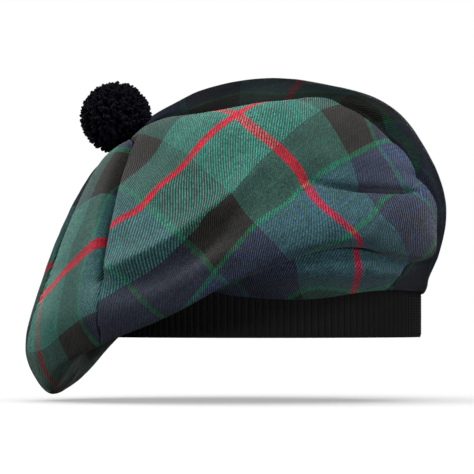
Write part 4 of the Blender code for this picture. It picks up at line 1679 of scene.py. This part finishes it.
        # Near the rim the stitches roll in, on a quarter round.
        position = add_node(tree, "GeometryNodeInputPosition")
        split = add_node(tree, "ShaderNodeSeparateXYZ", {0: position})
        below = add_node(
            tree, "ShaderNodeMath",
            {0: value["Rim round"], 1: split.outputs[2]},
            operation="SUBTRACT",
        )
        depth = add_node(tree, "ShaderNodeClamp", {0: below, 1: 0.0, 2: value["Rim round"]})
        squared = add_node(tree, "ShaderNodeMath", {0: depth, 1: depth}, operation="MULTIPLY")
        radius_squared = add_node(
            tree, "ShaderNodeMath", {0: value["Rim round"], 1: value["Rim round"]}, operation="MULTIPLY"
        )
        left = add_node(tree, "ShaderNodeMath", {0: radius_squared, 1: squared}, operation="SUBTRACT")
        root = add_node(tree, "ShaderNodeMath", {0: left}, operation="SQRT")
        roll = add_node(tree, "ShaderNodeMath", {0: root, 1: value["Rim round"]}, operation="SUBTRACT")
        level = add_node(tree, "ShaderNodeCombineXYZ", {0: split, 1: split.outputs[1], 2: 0.0})
        outward = add_node(tree, "ShaderNodeVectorMath", {0: level}, operation="NORMALIZE")
        move = add_node(tree, "ShaderNodeVectorMath", {0: outward, "Scale": roll}, operation="SCALE")
        rolled = add_node(tree, "GeometryNodeSetPosition", {"Geometry": real, "Offset": move})
        smooth = add_node(tree, "GeometryNodeSetShadeSmooth", {0: rolled})
        dressed = add_node(tree, "GeometryNodeSetMaterial", {"Geometry": smooth, "Material": value["Yarn"]})
        add_node(tree, "NodeGroupOutput", {0: dressed})
        return tree

    def build(self) -> None:
        """Make the band's fabric and its stitches."""
        material = self.yarn.material("worsted_rib_knit")
        fabric = self.fabric()
        fabric.materials.append(material)
        course = (self.size.height - self.rim_round) / self.courses
        stitches = mesh_from_tree("band_stitches", self.stitch_tree(), {
            "Ribs": self.ribs,
            "Courses": self.courses,
            "Half length": self.size.length / 2 - self.yarn_radius - 0.5 * self.stitch_rise,
            "Half width": self.size.width / 2 - self.yarn_radius - 0.5 * self.stitch_rise,
            "Course height": course,
            "Stitch half width": self.stitch_half_width,
            "Stitch rise": self.stitch_rise,
            "Yarn radius": self.yarn_radius,
            "Rim round": self.stitch_round_share * self.rim_round,
            "Yarn": material,
        })
        body = place_piece("band_fabric", fabric, ["band"])
        knit = place_piece("band_stitches", stitches, ["band"])


# ---------------------------------------------------------------- the toorie
GOLDEN_TURN = math.pi * (3 - math.sqrt(5))


@dataclass(frozen=True)
class ToorieYarn(SpunYarn):
    """Blue-black wool yarn, two-ply, spun soft.

    It gives the eye a deep, almost lightless ball in which only the ends nearest the light show.
    """

    colour: str = "#03030c"
    fibre_run: float = 0.0007
    fibre_detail: float = 2.0
    fibre_shade: float = 0.5
    fibre_height: float = 0.0002
    fibre_strength: float = 0.7
    roughness: float = 0.95
    sheen: float = 0.01
    specular: float = 0.1


@dataclass
class Toorie:
    """The toorie: cut ends of plied yarn, tied in a ball at the crown's top point.

    lift is its middle's height over that point, and its underside is pressed flat base_clearance over
    it.  ply_shape squeezes the yarn's section, and shortest and longest are the least and the most that
    an end is scaled by, across and along.
    """

    radius: float = 0.0236
    lift: float = 0.0178
    base_clearance: float = 0.0022
    core_radius: float = 0.0145
    core_subdivisions: int = 4
    ends: int = 780
    yarn_radius: float = 0.00155
    yarn_sides: int = 8
    yarn_steps: int = 7
    ply_shape: tuple = (1.22, 0.72, 1.0)
    bend: float = 0.0016
    bend_share: float = 0.55
    tip_aside: float = 0.0004
    tip_bluntness: float = 7.0
    shortest: tuple = (0.88, 0.88, 0.91)
    longest: tuple = (1.14, 1.14, 1.05)
    ply_turns: float = 1.1
    spread_degrees: float = 23.0
    yarn: ToorieYarn = ToorieYarn()
    seed: int = 11

    def pile_tree(self) -> bpy.types.NodeTree:
        """The tree that sets cut ends of yarn all over a ball, upright on the origin."""
        tree, given = new_tree("toorie_pile", {
            "Ends": SocketKind.WHOLE,
            "Core radius": SocketKind.NUMBER,
            "End length": SocketKind.NUMBER,
            "Yarn radius": SocketKind.NUMBER,
            "Ply turns": SocketKind.NUMBER,
            "Spread": SocketKind.NUMBER,
            "Base": SocketKind.NUMBER,
            "Seed": SocketKind.WHOLE,
            "Yarn": SocketKind.MATERIAL,
        })
        value = given.outputs
        # Places: a spiral that spaces the ends evenly over the ball.
        index = add_node(tree, "GeometryNodeInputIndex")
        middle = add_node(tree, "ShaderNodeMath", {0: index, 1: 0.5}, operation="ADD")
        share = add_node(tree, "ShaderNodeMath", {0: middle, 1: value["Ends"]}, operation="DIVIDE")
        height = add_node(tree, "ShaderNodeMath", {0: share, 1: -2.0, 2: 1.0}, operation="MULTIPLY_ADD")
        square = add_node(tree, "ShaderNodeMath", {0: height, 1: height}, operation="MULTIPLY")
        rest = add_node(tree, "ShaderNodeMath", {0: 1.0, 1: square}, operation="SUBTRACT")
        ring = add_node(tree, "ShaderNodeMath", {0: rest}, operation="SQRT")
        turn = add_node(tree, "ShaderNodeMath", {0: index, 1: GOLDEN_TURN}, operation="MULTIPLY")
        cosine = add_node(tree, "ShaderNodeMath", {0: turn}, operation="COSINE")
        sine = add_node(tree, "ShaderNodeMath", {0: turn}, operation="SINE")
        way_x = add_node(tree, "ShaderNodeMath", {0: ring, 1: cosine}, operation="MULTIPLY")
        way_y = add_node(tree, "ShaderNodeMath", {0: ring, 1: sine}, operation="MULTIPLY")
        way = add_node(tree, "ShaderNodeCombineXYZ", {0: way_x, 1: way_y, 2: height})
        core = add_node(
            tree, "ShaderNodeVectorMath", {0: way, "Scale": value["Core radius"]}, operation="SCALE"
        )
        points = add_node(tree, "GeometryNodePoints", {"Count": value["Ends"], "Position": core})
        # One cut end: a bent strand whose oval section turns along it, as two plies do.
        circle = add_node(
            tree, "GeometryNodeCurvePrimitiveCircle",
            {"Resolution": self.yarn_sides, "Radius": value["Yarn radius"]},
            mode="RADIUS",
        )
        plies = add_node(tree, "GeometryNodeTransform", {"Geometry": circle, "Scale": self.ply_shape})
        tip = add_node(tree, "ShaderNodeCombineXYZ", {0: self.tip_aside, 1: 0.0, 2: value["End length"]})
        half = add_node(
            tree, "ShaderNodeMath", {0: value["End length"], 1: self.bend_share}, operation="MULTIPLY"
        )
        bend = add_node(tree, "ShaderNodeCombineXYZ", {0: self.bend, 1: 0.0, 2: half})
        line = add_node(
            tree, "GeometryNodeCurveQuadraticBezier",
            {"Resolution": self.yarn_steps, "Start": (0.0, 0.0, 0.0), "Middle": bend, "End": tip},
        )
        along = add_node(tree, "GeometryNodeSplineParameter")
        angle = add_node(
            tree, "ShaderNodeMath", {0: value["Ply turns"], 1: 2 * math.pi}, operation="MULTIPLY"
        )
        twist = add_node(
            tree, "ShaderNodeMath", {0: along.outputs["Factor"], 1: angle}, operation="MULTIPLY"
        )
        twisted = add_node(tree, "GeometryNodeSetCurveTilt", {"Curve": line, "Tilt": twist})
        power = add_node(
            tree, "ShaderNodeMath", {0: along.outputs["Factor"], 1: self.tip_bluntness}, operation="POWER"
        )
        left = add_node(tree, "ShaderNodeMath", {0: 1.0, 1: power}, operation="SUBTRACT")
        round_tip = add_node(tree, "ShaderNodeMath", {0: left}, operation="SQRT")
        strand = add_node(
            tree, "GeometryNodeCurveToMesh", {"Curve": twisted, "Profile Curve": plies, "Scale": round_tip}
        )
        # Each end leans its own way, turns about itself and is cut a little longer or shorter.
        lean = add_node(
            tree, "FunctionNodeRandomValue",
            {"Min": (-1.0, -1.0, -1.0), "Max": (1.0, 1.0, 1.0), "Seed": value["Seed"]},
            data_type="FLOAT_VECTOR",
        )
        leaned = add_node(
            tree, "ShaderNodeVectorMath", {0: lean, "Scale": value["Spread"]}, operation="SCALE"
        )
        heading = add_node(tree, "ShaderNodeVectorMath", {0: way, 1: leaned}, operation="ADD")
        upright = add_node(tree, "FunctionNodeAlignRotationToVector", {"Vector": heading}, axis="Z")
        spin = add_node(
            tree, "FunctionNodeRandomValue",
            {"Min": (0.0, 0.0, 0.0), "Max": (0.0, 0.0, 2 * math.pi), "Seed": value["Seed"]},
            data_type="FLOAT_VECTOR",
        )
        spun = add_node(tree, "FunctionNodeEulerToRotation", {0: spin})
        turned = add_node(tree, "FunctionNodeRotateRotation", {0: upright, 1: spun}, rotation_space="LOCAL")
        cut = add_node(
            tree, "FunctionNodeRandomValue",
            {"Min": self.shortest, "Max": self.longest, "Seed": value["Seed"]},
            data_type="FLOAT_VECTOR",
        )
        pile = add_node(
            tree, "GeometryNodeInstanceOnPoints",
            {"Points": points, "Instance": strand, "Rotation": turned, "Scale": cut},
        )
        heart = add_node(
            tree, "GeometryNodeMeshIcoSphere",
            {"Radius": value["Core radius"], "Subdivisions": self.core_subdivisions},
        )
        both = add_node(tree, "GeometryNodeJoinGeometry")
        tree.links.new(pile.outputs[0], both.inputs[0])
        tree.links.new(heart.outputs[0], both.inputs[0])
        real = add_node(tree, "GeometryNodeRealizeInstances", {0: both})
        # The ends under the ball are pressed flat against the crown.
        position = add_node(tree, "GeometryNodeInputPosition")
        split = add_node(tree, "ShaderNodeSeparateXYZ", {0: position})
        held = add_node(tree, "ShaderNodeMath", {0: split.outputs[2], 1: value["Base"]}, operation="MAXIMUM")
        settled = add_node(tree, "ShaderNodeCombineXYZ", {0: split, 1: split.outputs[1], 2: held})
        pressed = add_node(tree, "GeometryNodeSetPosition", {"Geometry": real, "Position": settled})
        smooth = add_node(tree, "GeometryNodeSetShadeSmooth", {0: pressed})
        dressed = add_node(tree, "GeometryNodeSetMaterial", {"Geometry": smooth, "Material": value["Yarn"]})
        add_node(tree, "NodeGroupOutput", {0: dressed})
        return tree

    def build(self, crown: CrownSize) -> None:
        """Make the toorie and set it on the crown's top point."""
        mesh = mesh_from_tree("toorie_pile", self.pile_tree(), {
            "Ends": self.ends,
            "Core radius": self.core_radius,
            "End length": self.radius - self.core_radius,
            "Yarn radius": self.yarn_radius,
            "Ply turns": self.ply_turns,
            "Spread": math.tan(math.radians(self.spread_degrees)),
            "Base": self.base_clearance - self.lift,
            "Seed": self.seed,
            "Yarn": self.yarn.material("toorie_wool_yarn"),
        })
        upright = Vector((-crown.top_slope, 0.0, 1.0)).normalized()
        turn = upright.to_track_quat("Z", "Y").to_matrix().to_4x4()
        turn.translation = Vector(crown.top_point) + self.lift * upright
        mesh.transform(turn)
        place_piece("toorie_pile", mesh, ["toorie"])


# ---------------------------------------------------------------- the studio
FAR_GORES = ("crown_gore_far", "crown_gore_far_left")


class Falls(Enum):
    """Whether a light falls on the objects that it names alone, or on all but those."""

    ALONE = "INCLUDE"
    ALL_BUT = "EXCLUDE"


@dataclass(frozen=True)
class Lamp:
    """A square soft light: where it hangs, its power, the pieces that it falls on and its size.

    Where only is given, it falls on those pieces alone.  Otherwise it misses the floor and the two far
    gores, which the photograph shows dark.
    """

    name: str
    place: tuple
    watts: float
    only: tuple = ()
    size: float = 0.8


@dataclass
class Studio:
    """A white paper floor and backdrop, and plain soft light, most of it from the left and above.

    light_above and light_below are the room's own light, which blend over the horizon, and the washes
    light the floor alone.
    """

    floor_drop: float = 0.004
    floor_half: float = 12.0
    floor_colour: str = "#fbfbfb"
    floor_roughness: float = 0.9
    backdrop: float = 1.0
    light_above: float = 0.04
    light_below: float = 0.03
    horizon: float = 0.5
    aim: tuple = (-0.02, 0.0, 0.07)
    lamps: tuple = (
        Lamp("key", (-2.75, 0.95, 1.45), 66.0),
        Lamp("key_low", (-3.03, -1.09, 0.10), 64.0),
        Lamp("rim", (-1.57, 2.68, 0.90), 32.0),
        Lamp("above", (0.60, -0.45, 3.16), 90.0),
        Lamp("fill", (1.16, -1.68, 2.52), 46.0),
        Lamp("fill_low", (1.82, -2.62, 0.40), 52.0),
        Lamp("side_on_far_gore", (-3.03, 1.09, 0.07), 70.0, ("crown_gore_far",)),
        Lamp("side_on_far_left_gore", (-3.03, 0.80, 0.07), 130.0, ("crown_gore_far_left",)),
        Lamp("front_on_far_gores", (0.60, -3.14, 0.45), 30.0, FAR_GORES),
        Lamp("back_on_far_gores", (0.40, 3.15, 0.35), 80.0, FAR_GORES),
    )
    wash_strength: float = 2.6
    shade_strength: float = 0.8
    wash_softness: float = 110.0
    wash_turn: tuple = (12.0, -10.0, 0.0)

    def floor(self) -> bpy.types.Object:
        """Lay the floor just below the crown's hanging side."""
        lowest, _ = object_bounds()
        level = lowest.z - self.floor_drop
        half = self.floor_half
        mesh = bpy.data.meshes.new("floor")
        corners = [(-half, -half, level), (half, -half, level), (half, half, level), (-half, half, level)]
        mesh.from_pydata(corners, [], [(0, 1, 2, 3)])
        material = bpy.data.materials.new("white_paper")
        material.use_nodes = True
        shader = material.node_tree.nodes["Principled BSDF"]
        shader.inputs["Base Color"].default_value = linear(self.floor_colour)
        shader.inputs["Roughness"].default_value = self.floor_roughness
        shader.inputs["Specular IOR Level"].default_value = 0.0
        mesh.materials.append(material)
        floor = bpy.data.objects.new("floor", mesh)
        bpy.context.scene.collection.objects.link(floor)
        floor.visible_diffuse = False
        floor.visible_glossy = False
        floor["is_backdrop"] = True
        return floor

    def room(self) -> None:
        """Light the room softly, more from above than from below, with a white backdrop behind."""
        world = bpy.data.worlds.new("room")
        world.use_nodes = True
        bpy.context.scene.world = world
        tree = world.node_tree
        background = tree.nodes["Background"]
        way = add_node(tree, "ShaderNodeTexCoord")
        split = add_node(tree, "ShaderNodeSeparateXYZ", {0: way.outputs["Generated"]})
        height = add_node(
            tree, "ShaderNodeMapRange",
            {"Value": split.outputs[2], "From Min": -self.horizon, "From Max": self.horizon,
             "To Min": self.light_below, "To Max": self.light_above},
            interpolation_type="SMOOTHSTEP",
        )
        path = add_node(tree, "ShaderNodeLightPath")
        strength = add_node(
            tree, "ShaderNodeMix",
            {0: path.outputs["Is Camera Ray"], 2: height, 3: self.backdrop},
            data_type="FLOAT",
        )
        background.inputs["Color"].default_value = (1.0, 1.0, 1.0, 1.0)
        tree.links.new(strength.outputs[0], background.inputs["Strength"])

    @staticmethod
    def shine_on(light: bpy.types.Object, falls: Falls, names: tuple) -> None:
        """Let a light fall on some objects alone, or on all but those.

        Args:
            light: the light.
            falls: which of the two.
            names: the objects' names.
        """
        receivers = bpy.data.collections.new(light.name + "_receivers")
        for name in names:
            receivers.objects.link(bpy.data.objects[name])
        for member in receivers.collection_objects:
            member.light_linking.link_state = falls.value
        light.light_linking.receiver_collection = receivers

    def hang(self, lamp: Lamp) -> None:
        """Hang one light on the hat."""
        data = bpy.data.lights.new(lamp.name, "AREA")
        data.shape = "SQUARE"
        data.size = lamp.size
        data.energy = lamp.watts
        light = bpy.data.objects.new(lamp.name, data)
        light.location = lamp.place
        light.rotation_euler = (Vector(self.aim) - light.location).to_track_quat("-Z", "Y").to_euler()
        bpy.context.scene.collection.objects.link(light)
        if lamp.only:
            self.shine_on(light, Falls.ALONE, lamp.only)
        else:
            self.shine_on(light, Falls.ALL_BUT, ("floor", *FAR_GORES))

    def wash(self, name: str, strength: float, shadow: bool) -> None:
        """Light the floor alone, evenly from above.

        Args:
            name: the light's name.
            strength: its strength.
            shadow: whether the hat shades it.
        """
        data = bpy.data.lights.new(name, "SUN")
        data.energy = strength
        data.angle = math.radians(self.wash_softness)
        data.use_shadow = shadow
        light = bpy.data.objects.new(name, data)
        light.rotation_euler = tuple(math.radians(turn) for turn in self.wash_turn)
        bpy.context.scene.collection.objects.link(light)
        self.shine_on(light, Falls.ALONE, ("floor",))

    def build(self) -> None:
        """Make the floor, the room and the lights."""
        self.floor()
        self.room()
        self.wash("floor_wash", self.wash_strength, False)
        self.wash("floor_shade", self.shade_strength, True)
        for lamp in self.lamps:
            self.hang(lamp)
        bpy.context.scene.view_settings.view_transform = "Standard"


def main() -> None:
    """Build the hat's finish, the studio and the camera."""
    logging.basicConfig(level=logging.INFO, format="%(message)s")
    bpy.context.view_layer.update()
    view = PhotoView()
    view.make_camera()
    crown = Crown()
    crown.build(view)
    Band().build()
    Toorie().build(crown.form.crown)
    Studio().build()


if __name__ == "__main__":
    main()
